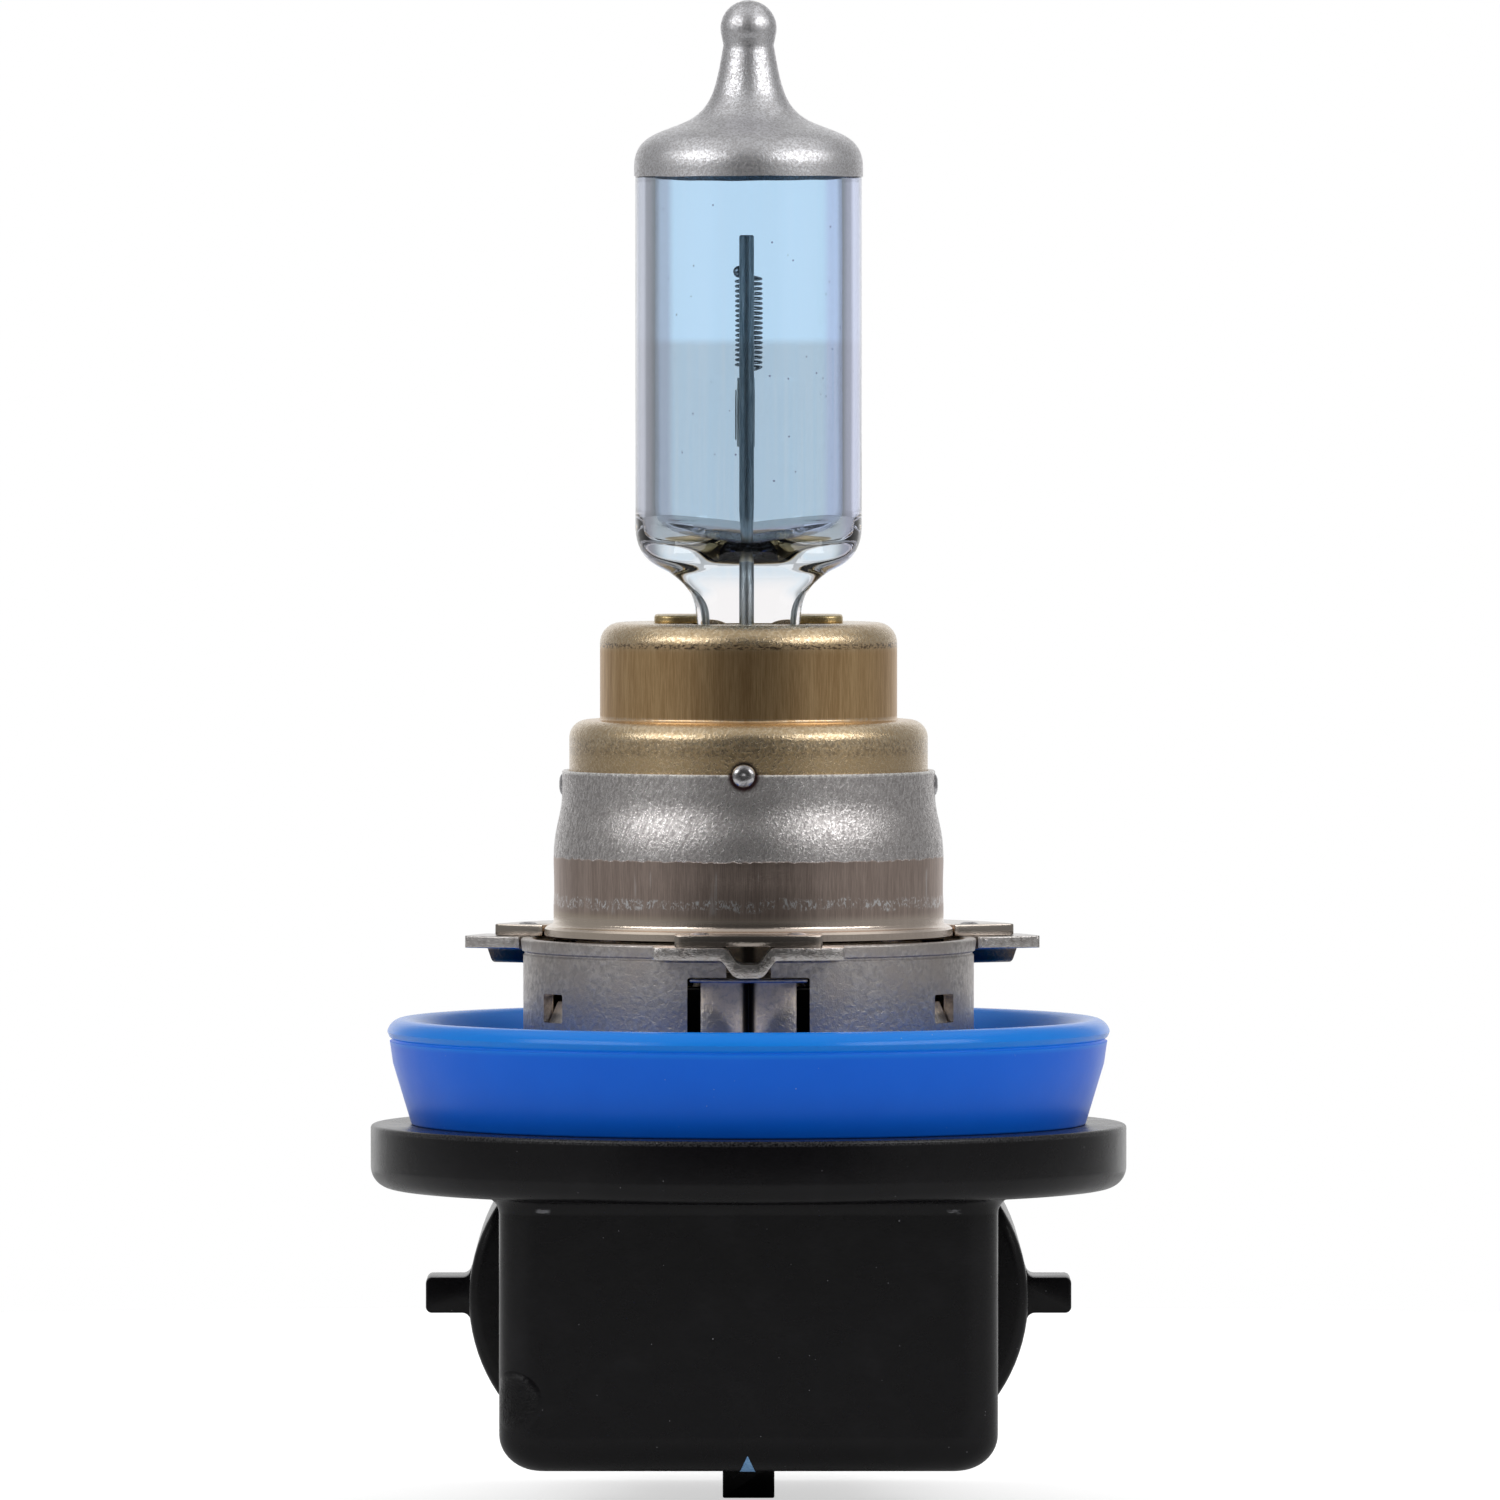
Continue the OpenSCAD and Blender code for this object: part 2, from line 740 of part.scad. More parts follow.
// Small painted triangle on the rounded lower edge of the closed back
module index_mark() {
    base = back_bottom - 0.1;
    mark = [[-0.36, base], [0.28, base], [-0.04, back_bottom + 0.68]];
    color("steelblue")
        intersection() {
            difference() {
                translate([0, -mark_t, -mark_t])
                    closed_back();
                closed_back();
            }
            translate([0, -back_reach + 1.2, 0])
                rotate([90, 0, 0])
                    linear_extrude(2)
                        polygon(mark);
        }
}

glass_envelope();
silver_tip_coat();
filament_coil();
filament_weld_bead();
filament_clip();
long_support_wire();
short_support_wire();
pinch_foil(-1);  // front_pinch_foil
pinch_foil(1);  // rear_pinch_foil
outer_lead(-1);  // front_outer_lead
outer_lead(1);  // rear_outer_lead
burner_holder_cap();
pinch_clamp();
focus_collar();
collar_weld_spots();
bayonet_ring();
flange_weld_spots();
lip_seal();
base_housing();
terminal(-1);  // left_terminal
terminal(1);  // right_terminal
index_mark();
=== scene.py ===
"""The looks of a halogen headlight bulb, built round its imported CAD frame.

Lengths are millimetres here until a mesh is made, and meshes are in metres. Z is the bulb's axis, and
Z = 0 is the underside of the bayonet lugs. The closed back of the connector faces -Y, to the camera.
"""
import math

import bmesh
import bpy
from mathutils import Matrix, Vector


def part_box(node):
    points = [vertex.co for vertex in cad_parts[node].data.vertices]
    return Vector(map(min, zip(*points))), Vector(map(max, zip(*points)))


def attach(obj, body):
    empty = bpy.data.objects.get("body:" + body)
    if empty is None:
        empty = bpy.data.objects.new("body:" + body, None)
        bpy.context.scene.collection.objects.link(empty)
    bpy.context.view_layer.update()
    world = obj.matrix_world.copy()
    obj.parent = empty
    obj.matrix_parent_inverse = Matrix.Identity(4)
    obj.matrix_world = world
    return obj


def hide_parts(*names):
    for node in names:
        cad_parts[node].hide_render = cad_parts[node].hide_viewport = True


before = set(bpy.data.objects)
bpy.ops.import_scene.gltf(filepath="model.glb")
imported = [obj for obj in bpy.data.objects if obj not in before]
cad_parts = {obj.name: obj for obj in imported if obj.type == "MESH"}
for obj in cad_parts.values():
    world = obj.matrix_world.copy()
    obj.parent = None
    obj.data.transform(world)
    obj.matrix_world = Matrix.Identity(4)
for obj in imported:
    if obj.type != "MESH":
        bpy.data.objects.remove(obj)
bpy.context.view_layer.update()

MM = 0.001
THROUGH_WALL = (-11, -6)


def low(node):
    """A CAD node's lowest corner, in millimetres."""
    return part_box(node)[0] / MM


def high(node):
    """A CAD node's highest corner, in millimetres."""
    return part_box(node)[1] / MM


# ---- dimensions, from the frame and in millimetres ----

GLASS_R = high("glass_envelope").x
TIP_TOP = high("glass_envelope").z
PINCH_BOTTOM = low("glass_envelope").z
BORE_R = GLASS_R - 0.82
COAT_EDGE = low("silver_tip_coat").z
COAT_T = high("silver_tip_coat").x - GLASS_R
SHOULDER_Z = COAT_EDGE + 0.4
TIP_R = 1.12
HEEL_Z = 17.6
NECK_Z = 14.2
HOLLOW_FLOOR = 16.25

POST_R = (high("long_support_wire").x - low("long_support_wire").x) / 2
POST_X = (high("long_support_wire").x + low("long_support_wire").x) / 2
POST_Y = -(high("long_support_wire").y + low("long_support_wire").y) / 2
COIL_R = high("filament_coil").x
COIL_WIRE_R = 0.055
COIL_LENGTH = 3.7
COIL_TURNS = 18
COIL_LOW = 24.3

CAP_TOP = high("burner_holder_cap").z
CAP_LOWER_R = high("burner_holder_cap").x
CAP_UPPER_R = 6.19
CAP_STEP = 9.6
CAP_T = 0.4
SLOT_HALF = (2.35, 4.65)
LEAF_REACH = 3.92
LEAF_W = 4.4

COLLAR_TOP = high("focus_collar").z
COLLAR_R = 8.125
COLLAR_LIP_R = 7.77
COLLAR_T = 0.27
COLLAR_FLANGE_R = 8.5
COLLAR_LUG_REACH = -low("focus_collar").y
COLLAR_LUG_EXTRA = 0.55
COLLAR_LUG_W = 6.1

PLATE_T = high("bayonet_ring").z
LUG_REACH = -low("bayonet_ring").y
LUG_EXTRA = 0.35
LUG_W = 7.9
BARREL_R = 9.39
BARREL_T = 0.45
RIM_R = BARREL_R + 0.1
BEAD_DEPTH = 0.73
SEAL_SEAT = (BARREL_R - 0.04, -5.05)
LUG_ANGLES = (0, 120, 240)
LONG_LUG = 120
SNAP_ANGLES = (60, 180, 300)
TONGUE_WINDOW = (5.05, -0.81, -5.6)
SNAP_WINDOW = (1.57, -1.67, -2.86)

SEAL_R = high("lip_seal").x
FLANGE_TOP = low("lip_seal").z
FLANGE_R = high("base_housing").x
FLANGE_T = 2.65
FLANGE_BOTTOM = FLANGE_TOP - FLANGE_T
BACK_HALF_W = 10.3
BACK_REACH = 9.5
BACK_BOTTOM = -21.23
BACK_END = 5
SHROUD_W, SHROUD_H = 23.46, 14.3
SHROUD_DROP = 0.4
SHROUD_Z = FLANGE_TOP - SHROUD_DROP - SHROUD_H / 2
SHROUD_ROOT = 4
SHROUD_WALL = 1.5
SOCKET_FLOOR = 7
MOUTH = high("base_housing").y
KEY_SPAN = (7, 11)
KEY_T = 1.5
KEY_REACH = 13.58
KEY_BOTTOM = low("base_housing").z
BOTTOM_KEY_W = 2.18


# ---- curves ----

def arc(cx, cy, r, start, end, steps=8):
    """Points of a circular arc between two angles in degrees."""
    angles = [math.radians(start + (end - start) * i / steps) for i in range(steps + 1)]
    return [(cx + r * math.cos(a), cy + r * math.sin(a)) for a in angles]


def bezier(a, b, c, d, steps=14):
    """Points of a cubic curve from a to d."""
    points = []
    for i in range(steps + 1):
        t = i / steps
        u = 1 - t
        weights = (u ** 3, 3 * u * u * t, 3 * u * t * t, t ** 3)
        points.append(tuple(sum(w * p[k] for w, p in zip(weights, (a, b, c, d))) for k in (0, 1)))
    return points


def rounded(points, radius, steps=5):
    """A closed outline with each corner replaced by an arc. radius is one number, or one per corner."""
    radii = radius if isinstance(radius, (list, tuple)) else [radius] * len(points)
    outline = []
    for i, r in enumerate(radii):
        here, before = Vector(points[i]), Vector(points[i - 1])
        after = Vector(points[(i + 1) % len(points)])
        if r <= 0:
            outline.append(tuple(here))
            continue
        to_before, to_after = (before - here).normalized(), (after - here).normalized()
        half = to_before.angle(to_after) / 2
        reach = min(r / math.tan(half), 0.49 * (before - here).length, 0.49 * (after - here).length)
        r = reach * math.tan(half)
        centre = here + (to_before + to_after).normalized() * r / math.sin(half)
        first, last = here + to_before * reach - centre, here + to_after * reach - centre
        sweep = first.angle_signed(last)
        for k in range(steps + 1):
            a = -sweep * k / steps
            outline.append((centre.x + first.x * math.cos(a) - first.y * math.sin(a),
                            centre.y + first.x * math.sin(a) + first.y * math.cos(a)))
    return outline


def rectangle(left, bottom, right, top):
    """Four corners, anticlockwise from the lower left."""
    return [(left, bottom), (right, bottom), (right, top), (left, top)]


def interpolate(stops, x):
    """Value at x of a smooth curve through (x, value) stops, which never overshoots them."""
    if x <= stops[0][0]:
        return stops[0][1]
    if x >= stops[-1][0]:
        return stops[-1][1]
    slopes = [(b[1] - a[1]) / (b[0] - a[0]) for a, b in zip(stops, stops[1:])]
    bends = [slopes[0]] + [2 * p * q / (p + q) if p * q > 0 else 0.0
                           for p, q in zip(slopes, slopes[1:])] + [slopes[-1]]
    i = max(k for k in range(len(slopes)) if x >= stops[k][0])
    width = stops[i + 1][0] - stops[i][0]
    t = (x - stops[i][0]) / width
    return ((1 + 2 * t) * (1 - t) ** 2 * stops[i][1] + t * (1 - t) ** 2 * width * bends[i]
            + t * t * (3 - 2 * t) * stops[i + 1][1] + t * t * (t - 1) * width * bends[i + 1])


# ---- meshes ----

def soften(obj, degrees=32):
    """Smooth shading that keeps edges sharper than the angle."""
    obj.data.polygons.foreach_set("use_smooth", [True] * len(obj.data.polygons))
    obj.data.set_sharp_from_angle(angle=math.radians(degrees))
    return obj


def new_object(name, data):
    """An object in the scene that holds a mesh, a light or a camera."""
    obj = bpy.data.objects.new(name, data)
    bpy.context.scene.collection.objects.link(obj)
    return obj


def mesh_object(name, vertices, faces):
    """An object from points in millimetres, with doubles merged and normals pointing out."""
    mesh = bpy.data.meshes.new(name)
    mesh.from_pydata([Vector(v) * MM for v in vertices], [], faces)
    bm = bmesh.new()
    bm.from_mesh(mesh)
    bmesh.ops.remove_doubles(bm, verts=bm.verts, dist=2e-7)
    bmesh.ops.recalc_face_normals(bm, faces=bm.faces)
    bm.to_mesh(mesh)
    bm.free()
    return soften(new_object(name, mesh))


def loft(name, rings, closed=False):
    """A skin through rings of equal length. An open skin gets a face over each end ring."""
    count = len(rings[0])
    vertices = [p for ring in rings for p in ring]
    faces = []
    for i in range(len(rings) if closed else len(rings) - 1):
        j = (i + 1) % len(rings)
        for k in range(count):
            n = (k + 1) % count
            faces.append((i * count + k, i * count + n, j * count + n, j * count + k))
    if not closed:
        faces.append(tuple(range(count)))
        faces.append(tuple(range((len(rings) - 1) * count, len(rings) * count)))
    return mesh_object(name, vertices, faces)


def lathe(name, profile, closed=True, segments=192, about=(0, 0)):
    """Surface of revolution about a vertical line. The profile is (radius, height) points."""
    rings = []
    for r, z in profile:
        angles = [2 * math.pi * k / segments for k in range(segments)]
        rings.append([(about[0] + r * math.sin(a), about[1] - r * math.cos(a), z) for a in angles])
    return loft(name, rings, closed)


def prism(name, outline, start, end, axis="y"):
    """An outline pulled along an axis. It is drawn in (x, z) for y, in (y, z) for x, and in (x, y) for z."""
    place = {"y": lambda p, t: (p[0], t, p[1]), "x": lambda p, t: (t, p[0], p[1]),
             "z": lambda p, t: (p[0], p[1], t)}[axis]
    return loft(name, [[place(p, t) for p in outline] for t in (start, end)])


def tube(name, path, radius, sides=16):
    """A round wire along points. radius is one number or one for each point."""
    radii = radius if isinstance(radius, (list, tuple)) else [radius] * len(path)
    path = [Vector(p) for p in path]
    rings = []
    side = None
    for i, (point, r) in enumerate(zip(path, radii)):
        ahead = (path[min(i + 1, len(path) - 1)] - path[max(i - 1, 0)]).normalized()
        if side is None:
            side = ahead.orthogonal().normalized()
        side = (side - ahead * side.dot(ahead)).normalized()
        up = ahead.cross(side)
        turn = [2 * math.pi * k / sides for k in range(sides)]
        rings.append([point + r * (side * math.cos(a) + up * math.sin(a)) for a in turn])
    return loft(name, rings)


def turned(obj, degrees):
    """Turns a mesh about the bulb's axis. 0 faces -Y."""
    obj.data.transform(Matrix.Rotation(math.radians(degrees), 4, "Z"))
    return obj


def settle(obj):
    """Turns the object's modifiers into mesh."""
    evaluated = obj.evaluated_get(bpy.context.evaluated_depsgraph_get())
    mesh = bpy.data.meshes.new_from_object(evaluated)
    obj.modifiers.clear()
    old = obj.data
    obj.data = mesh
    bpy.data.meshes.remove(old)
    return obj


def combine(obj, operation, others):
    """Joins, cuts or intersects obj with other objects, which are used up."""
    for other in others:
        modifier = obj.modifiers.new("boolean", "BOOLEAN")
        modifier.operation = operation
        modifier.solver = "EXACT"
        modifier.object = other
        settle(obj)
        bpy.data.objects.remove(other)
    return soften(obj)


def round_edges(obj, width, degrees=40, segments=2):
    """Rounds every edge sharper than the angle."""
    modifier = obj.modifiers.new("bevel", "BEVEL")
    modifier.width = width * MM
    modifier.segments = segments
    modifier.limit_method = "ANGLE"
    modifier.angle_limit = math.radians(degrees)
    return soften(settle(obj), 50)


def joined(name, objects):
    """One object from the meshes of several."""
    bm = bmesh.new()
    for obj in objects:
        bm.from_mesh(obj.data)
        bpy.data.objects.remove(obj)
    mesh = bpy.data.meshes.new(name)
    bm.to_mesh(mesh)
    bm.free()
    return soften(new_object(name, mesh))


def finish_piece(obj, node, shader):
    """Gives a piece its material, hangs it on the root body and hides the CAD node it stands for."""
    obj.data.materials.clear()
    obj.data.materials.append(shader.material)
    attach(obj, "root")
    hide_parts(node)


# ---- material helpers ----

class Graph:
    """Short ways to add nodes to a material or a world and to join them."""

    def __init__(self, owner):
        owner.use_nodes = True
        self.tree = owner.node_tree

    def add(self, kind, inputs=None, **settings):
        """A new node with its settings, and with values or other nodes' outputs on its inputs."""
        node = self.tree.nodes.new("ShaderNode" + kind)
        for name, value in settings.items():
            setattr(node, name, value)
        for socket, value in (inputs or {}).items():
            self.put(value, node.inputs[socket])
        return node

    def out(self, kind, inputs=None, **settings):
        """The first output of a new node."""
        return self.add(kind, inputs, **settings).outputs[0]

    def put(self, value, target):
        """Gives an input a number, a vector, a colour or another node's output."""
        if isinstance(value, bpy.types.NodeSocket):
            self.tree.links.new(value, target)
        elif isinstance(value, (int, float)):
            target.default_value = value
        else:
            target.default_value = (*value, 1) if len(target.default_value) == 4 else value

    def math(self, operation, *values):
        return self.out("Math", dict(enumerate(values)), operation=operation)

    def times(self, a, b):
        return self.math("MULTIPLY", a, b)

    def most(self, a, b):
        return self.math("MAXIMUM", a, b)

    def fit(self, value, start, end, low_value=0.0, high_value=1.0):
        """Maps a value from start..end to low_value..high_value with eased ends, and holds it outside."""
        values = dict(enumerate((value, start, end, low_value, high_value)))
        return self.out("MapRange", values, interpolation_type="SMOOTHSTEP")

    def blend(self, mask, at_none, at_full):
        """A number that goes from one value to another as the mask goes from 0 to 1."""
        return self.fit(mask, 0.0, 1.0, at_none, at_full)


class Shader(Graph):
    """One procedural material. Its texture coordinates are the object's own, in millimetres."""

    def __init__(self, name, metallic=0.0, roughness=0.5, ior=1.5):
        self.material = bpy.data.materials.new(name)
        super().__init__(self.material)
        self.bsdf = self.tree.nodes["Principled BSDF"]
        self.set("Metallic", metallic)
        self.set("Roughness", roughness)
        self.set("IOR", ior)
        own = self.add("TexCoord").outputs["Object"]
        self.place = self.out("VectorMath", {0: own, "Scale": 1 / MM}, operation="SCALE")
        self.x, self.y, self.z = self.add("SeparateXYZ", {0: self.place}).outputs

    def set(self, socket, value):
        """Sets one of the shader's sockets."""
        self.put(value, self.bsdf.inputs[socket])

    def paint(self, colour, mask):
        """Lays a colour over the present one where the mask is 1."""
        below = self.bsdf.inputs["Base Color"].links[0].from_socket
        self.set("Base Color", self.mix(below, colour, mask))

    def stretched(self, x=1.0, y=1.0, z=1.0, offset=(0, 0, 0)):
        """Coordinates for a pattern that is drawn out along each axis whose number is small."""
        return self.out("Mapping", {"Vector": self.place, "Scale": (x, y, z), "Location": offset})

    def slanted(self, tilt, length):
        """Coordinates for a pattern drawn out along Z and leaning by tilt degrees."""
        return self.out("Mapping", {"Vector": self.place, "Rotation": (0, math.radians(tilt), 0),
                                    "Scale": (1, 1, length)}, vector_type="TEXTURE")

    def noise(self, scale, detail=3.0, roughness=0.5, vector=None, distortion=0.0):
        return self.add("TexNoise", {"Vector": vector or self.place, "Scale": scale, "Detail": detail,
                                     "Roughness": roughness, "Distortion": distortion}).outputs["Fac"]

    def cells(self, scale, output="Distance"):
        return self.add("TexVoronoi", {"Vector": self.place, "Scale": scale}).outputs[output]

    def band(self, value, centre, half, soft):
        """1 within half of the centre, falling to 0 over the soft edge."""
        distance = self.math("ABSOLUTE", self.math("SUBTRACT", value, centre))
        return self.fit(distance, half, half + soft, 1.0, 0.0)

    def mix(self, a, b, factor):
        return self.add("Mix", {0: factor, 6: a, 7: b}, data_type="RGBA").outputs[2]

    def bump(self, height, depth, strength=1.0, after=None):
        """A bump whose full height is depth millimetres, on top of another bump."""
        inputs = {"Strength": strength, "Distance": depth * MM, "Height": height}
        if after:
            inputs["Normal"] = after
        return self.out("Bump", inputs)

    def drawn_round(self, amount):
        """Spreads reflections sideways round the Z axis, as upright drawing lines do."""
        self.set("Tangent", self.out("Tangent", direction_type="RADIAL", axis="Z"))
        self.set("Anisotropic", amount)

    def near(self, point, radius, soft):
        """1 within radius of a point, falling to 0 over the soft edge."""
        distance = self.add("VectorMath", {0: self.place, 1: point}, operation="DISTANCE").outputs["Value"]
        return self.fit(distance, radius, radius + soft, 1.0, 0.0)

    def specks(self, scale, share, size=0.25):
        """Sparse round dots: share is the part of the cells that hold one."""
        chosen = self.math("LESS_THAN", self.grey(self.cells(scale, "Color")), share)
        return self.times(chosen, self.fit(self.cells(scale), size * 0.6, size, 1.0, 0.0))

    def reach(self):
        """Distance from the Z axis, in millimetres."""
        return self.math("SQRT", self.math("ADD", self.times(self.x, self.x), self.times(self.y, self.y)))

    def grey(self, colour):
        return self.out("SeparateColor", {0: colour})

    def one_pattern(self, pattern, dark, light, spread, rough, depth=0.01, strength=0.6):
        """Colour, roughness and grain that all follow one pattern."""
        self.set("Base Color", self.mix(dark, light, self.fit(pattern, 0.5 - spread, 0.5 + spread)))
        self.set("Roughness", self.fit(pattern, 0.3, 0.7, *rough))
        self.set("Normal", self.bump(pattern, depth, strength))
        return self


def weld_centres():
    """Centres of the spots that join the collar to the cap."""
    reach = COLLAR_LIP_R - 0.08
    spots = ((-1.5, COLLAR_TOP - 0.06), (88.5, 6.9), (178.5, COLLAR_TOP - 0.06), (268.5, 6.9))
    return [(reach * math.sin(math.radians(a)), -reach * math.cos(math.radians(a)), z) for a, z in spots]


# ---- materials ----

def tinted_glass():
    """Blue-coated quartz, clear in the neck, with painted refraction: a greyer lower tone for the horizon
    seen through it, and purple edges that are darker at the left than at the right.
    """
    s = Shader("tinted_glass", roughness=0.0, ior=1.459)
    s.set("Transmission Weight", 1.0)
    streaks = s.noise(4.5, 4, 0.6, s.stretched(1, 1, 0.02))
    upper = s.mix((0.70, 0.87, 1.0), (0.77, 0.89, 1.0), streaks)
    # painted refraction: the greyer tone below the level line stands for the horizon seen through the glass
    lower = s.mix((0.64, 0.765, 0.865), (0.70, 0.785, 0.86), s.fit(streaks, 0.3, 0.7))
    tint = s.mix(lower, upper, s.fit(s.z, 25.15, 25.6))
    # painted refraction: purple edges, darker at the left than at the right, for what the walls refract
    edge = s.fit(s.add("LayerWeight", {"Blend": 0.5}).outputs["Facing"], 0.37, 0.52)
    tint = s.mix(tint, s.mix((0.46, 0.44, 0.52), (0.64, 0.63, 0.88), s.fit(s.x, -2.0, 2.0)), edge)
    clear = s.mix((0.98, 0.965, 0.97), tint, s.fit(s.z, 14.9, 16.4))
    flecks = s.times(s.specks(1.2, 0.32, 0.07), s.fit(s.z, 18, 19))
    s.set("Base Color", s.mix(clear, (0.12, 0.12, 0.2), flecks))
    ripple = s.noise(0.9, 1, 0.4, s.stretched(1, 1, 0.12))
    s.set("Normal", s.bump(ripple, 0.02, 0.35))
    return s


def silver_coating():
    """Sprayed silver: small bright and dull flakes, with some darker grain."""
    s = Shader("silver_coating", metallic=1.0)
    flake = s.grey(s.cells(16, "Color"))
    fine = s.noise(26, 3, 0.6)
    s.set("Base Color", s.mix((0.60, 0.59, 0.60), (0.88, 0.88, 0.91), s.fit(flake, 0.1, 0.95)))
    s.paint((0.42, 0.415, 0.42), s.fit(fine, 0.58, 0.75, 0.0, 0.5))
    s.set("Roughness", s.blend(flake, 0.46, 0.3))
    grain = s.bump(fine, 0.012, 0.7)
    s.set("Normal", s.bump(s.noise(7, 3, 0.55), 0.02, 0.6, grain))
    return s


def drawn_lines(s):
    """Fine upright drawing lines, as a grey pattern."""
    broad = s.noise(3.0, 3, 0.6, s.stretched(1, 1, 0.04))
    fine = s.noise(21, 3, 0.7, s.stretched(1, 1, 0.04, (3, 5, 7)))
    return s.math("ADD", s.times(broad, 0.4), s.times(fine, 0.6))


def heat_rings(s):
    """Dark halo of burnt metal round each collar weld."""
    rings = None
    for centre in weld_centres():
        ring = s.near(centre, 0.54, 0.2)
        rings = ring if rings is None else s.most(rings, ring)
    return rings


def bronze_cap():
    """Drawn lines on the upright wall, orange peel on the bends, and a band of dark specks where the collar
    starts. The bends are painted paler and whiter than the wall for the light they catch, and there is a
    painted highlight along the step.
    """
    s = Shader("bronze_cap", metallic=1.0)
    lines = drawn_lines(s)
    peel = s.noise(7.5, 4, 0.6)
    top_bend, step_bend = s.fit(s.z, 12.35, 13.05), s.fit(s.z, 9.7, 9.5)
    bends = s.most(top_bend, step_bend)
    pattern = s.mix(s.fit(lines, 0.36, 0.66), s.fit(peel, 0.3, 0.7), bends)
    wall = s.mix((0.57, 0.345, 0.15), (0.83, 0.56, 0.28), pattern)
    # painted light: the bends are paler and whiter than the wall for the light they catch; their orange peel
    # is real
    bend_painted_light = s.mix((0.56, 0.40, 0.215), (0.82, 0.66, 0.44), pattern)
    # darker towards the bottom of the lower drum
    bend_painted_light = s.mix(bend_painted_light, s.mix((0.50, 0.35, 0.18), (0.70, 0.53, 0.32), pattern), s.fit(s.z, 8.75, 8.35))
    s.set("Base Color", s.mix(wall, bend_painted_light, bends))
    seam_z = 12.74
    broken = s.fit(s.noise(5, 4, 0.7, s.stretched(1, 1, 2.5)), 0.46, 0.6)
    seam = s.times(s.band(s.z, seam_z, 0.05, 0.12), broken)
    s.paint((0.10, 0.06, 0.03), seam)
    # painted highlight: a pale line along the foot of the step
    step_fillet_glint = s.band(s.z, CAP_STEP + 0.07, 0.06, 0.06)
    s.paint((0.80, 0.66, 0.50), s.times(step_fillet_glint, s.fit(peel, 0.4, 0.65, 0.1, 0.6)))
    # a band of dark specks where the collar starts
    dark_speckle = s.times(s.band(s.z, 8.55, 0.2, 0.3), s.fit(s.noise(7, 4, 0.7), 0.46, 0.58))
    s.paint((0.12, 0.08, 0.045), s.times(dark_speckle, 0.5))
    s.paint((0.05, 0.025, 0.02), heat_rings(s))
    s.set("Roughness", s.blend(bends, 0.31, s.blend(pattern, 0.36, 0.24)))
    s.drawn_round(s.times(s.blend(bends, 0.8, 0.0), s.blend(step_fillet_glint, 1.0, 0.4)))
    s.set("Coat Weight", s.blend(bends, 0.25, 0.7))
    s.set("Coat Roughness", 0.3)
    s.set("Coat IOR", 1.6)
    upright = s.bump(lines, 0.006, 0.5)
    height = s.times(peel, s.blend(bends, 0.15, 1.0))
    s.set("Normal", s.bump(height, 0.03, 0.8, upright))
    return s


def collar_steel():
    """Matt and brushed on the swell, rubbed smooth below it, with scratches round the rubbed part."""
    s = Shader("collar_steel", metallic=1.0)
    lines = drawn_lines(s)
    peel = s.noise(9, 4, 0.65)
    rubbed_top, scratch_z = 3.9, 2.12
    wander = s.math("ADD", s.z, s.fit(s.noise(3, 2), 0.3, 0.7, -0.04, 0.04))
    rubbed = s.fit(wander, rubbed_top - 0.04, rubbed_top + 0.04, 1.0, 0.0)
    slant = s.noise(8, 4, 0.7, s.slanted(24, 5))
    brushed = s.math("ADD", s.times(peel, 0.5), s.times(slant, 0.5))
    upper = s.mix((0.36, 0.335, 0.33), (0.76, 0.73, 0.72), s.fit(brushed, 0.38, 0.62))
    lower = s.mix((0.43, 0.335, 0.29), (0.64, 0.515, 0.45), s.fit(lines, 0.36, 0.64))
    s.set("Base Color", s.mix(upper, lower, rubbed))
    # painted highlight: a bright broken line along the collar's top edge
    burr_highlight = s.times(s.band(s.z, COLLAR_TOP - 0.03, 0.05, 0.08), s.fit(s.noise(6, 3, 0.7), 0.4, 0.55))
    s.paint((0.95, 0.93, 0.90), burr_highlight)
    straw = s.times(s.band(s.z, 1.1, 0.25, 0.5), s.fit(s.x, -7.5, 2, 0.55, 0.05))
    s.paint((0.62, 0.52, 0.33), straw)
    s.paint((0.84, 0.73, 0.63), s.fit(s.z, 1.75, 1.35, 0.0, 0.7))
    # painted shade: the lugs are darker than the flange
    lugs = s.fit(s.reach(), COLLAR_FLANGE_R + 0.2, COLLAR_FLANGE_R + 0.5, 0.0, 0.8)
    s.paint((0.36, 0.325, 0.29), lugs)
    strokes = s.fit(s.noise(6.0, 5, 0.75, s.stretched(1, 1, 0.5, (11, 3, 2)), 1.4), 0.52, 0.58)
    height = s.math("ADD", s.z, s.fit(s.noise(0.8, 2), 0.3, 0.7, -0.1, 0.1))
    scratches = s.times(strokes, s.band(height, scratch_z, 0.14, 0.14))
    streaks = s.fit(s.noise(2.2, 3, 0.6, s.stretched(1, 1, 0.08, (4, 9, 1))), 0.62, 0.68)
    streaks = s.times(s.times(streaks, s.band(s.z, 2.6, 0.7, 0.3)), 0.4)
    s.paint((0.98, 0.96, 0.96), s.most(scratches, streaks))
    s.paint((0.06, 0.03, 0.03), heat_rings(s))
    rough = s.blend(rubbed, s.fit(brushed, 0.38, 0.62, 0.39, 0.23), 0.28)
    s.set("Roughness", s.math("SUBTRACT", rough, s.fit(s.z, 1.45, 1.25, 0.0, 0.13)))
    s.drawn_round(s.blend(rubbed, 0.3, 0.8))
    upright = s.bump(s.mix(slant, lines, rubbed), 0.012, 0.6)
    s.set("Normal", s.bump(s.times(peel, s.blend(rubbed, 1.0, 0.25)), 0.028, 0.8, upright))
    return s


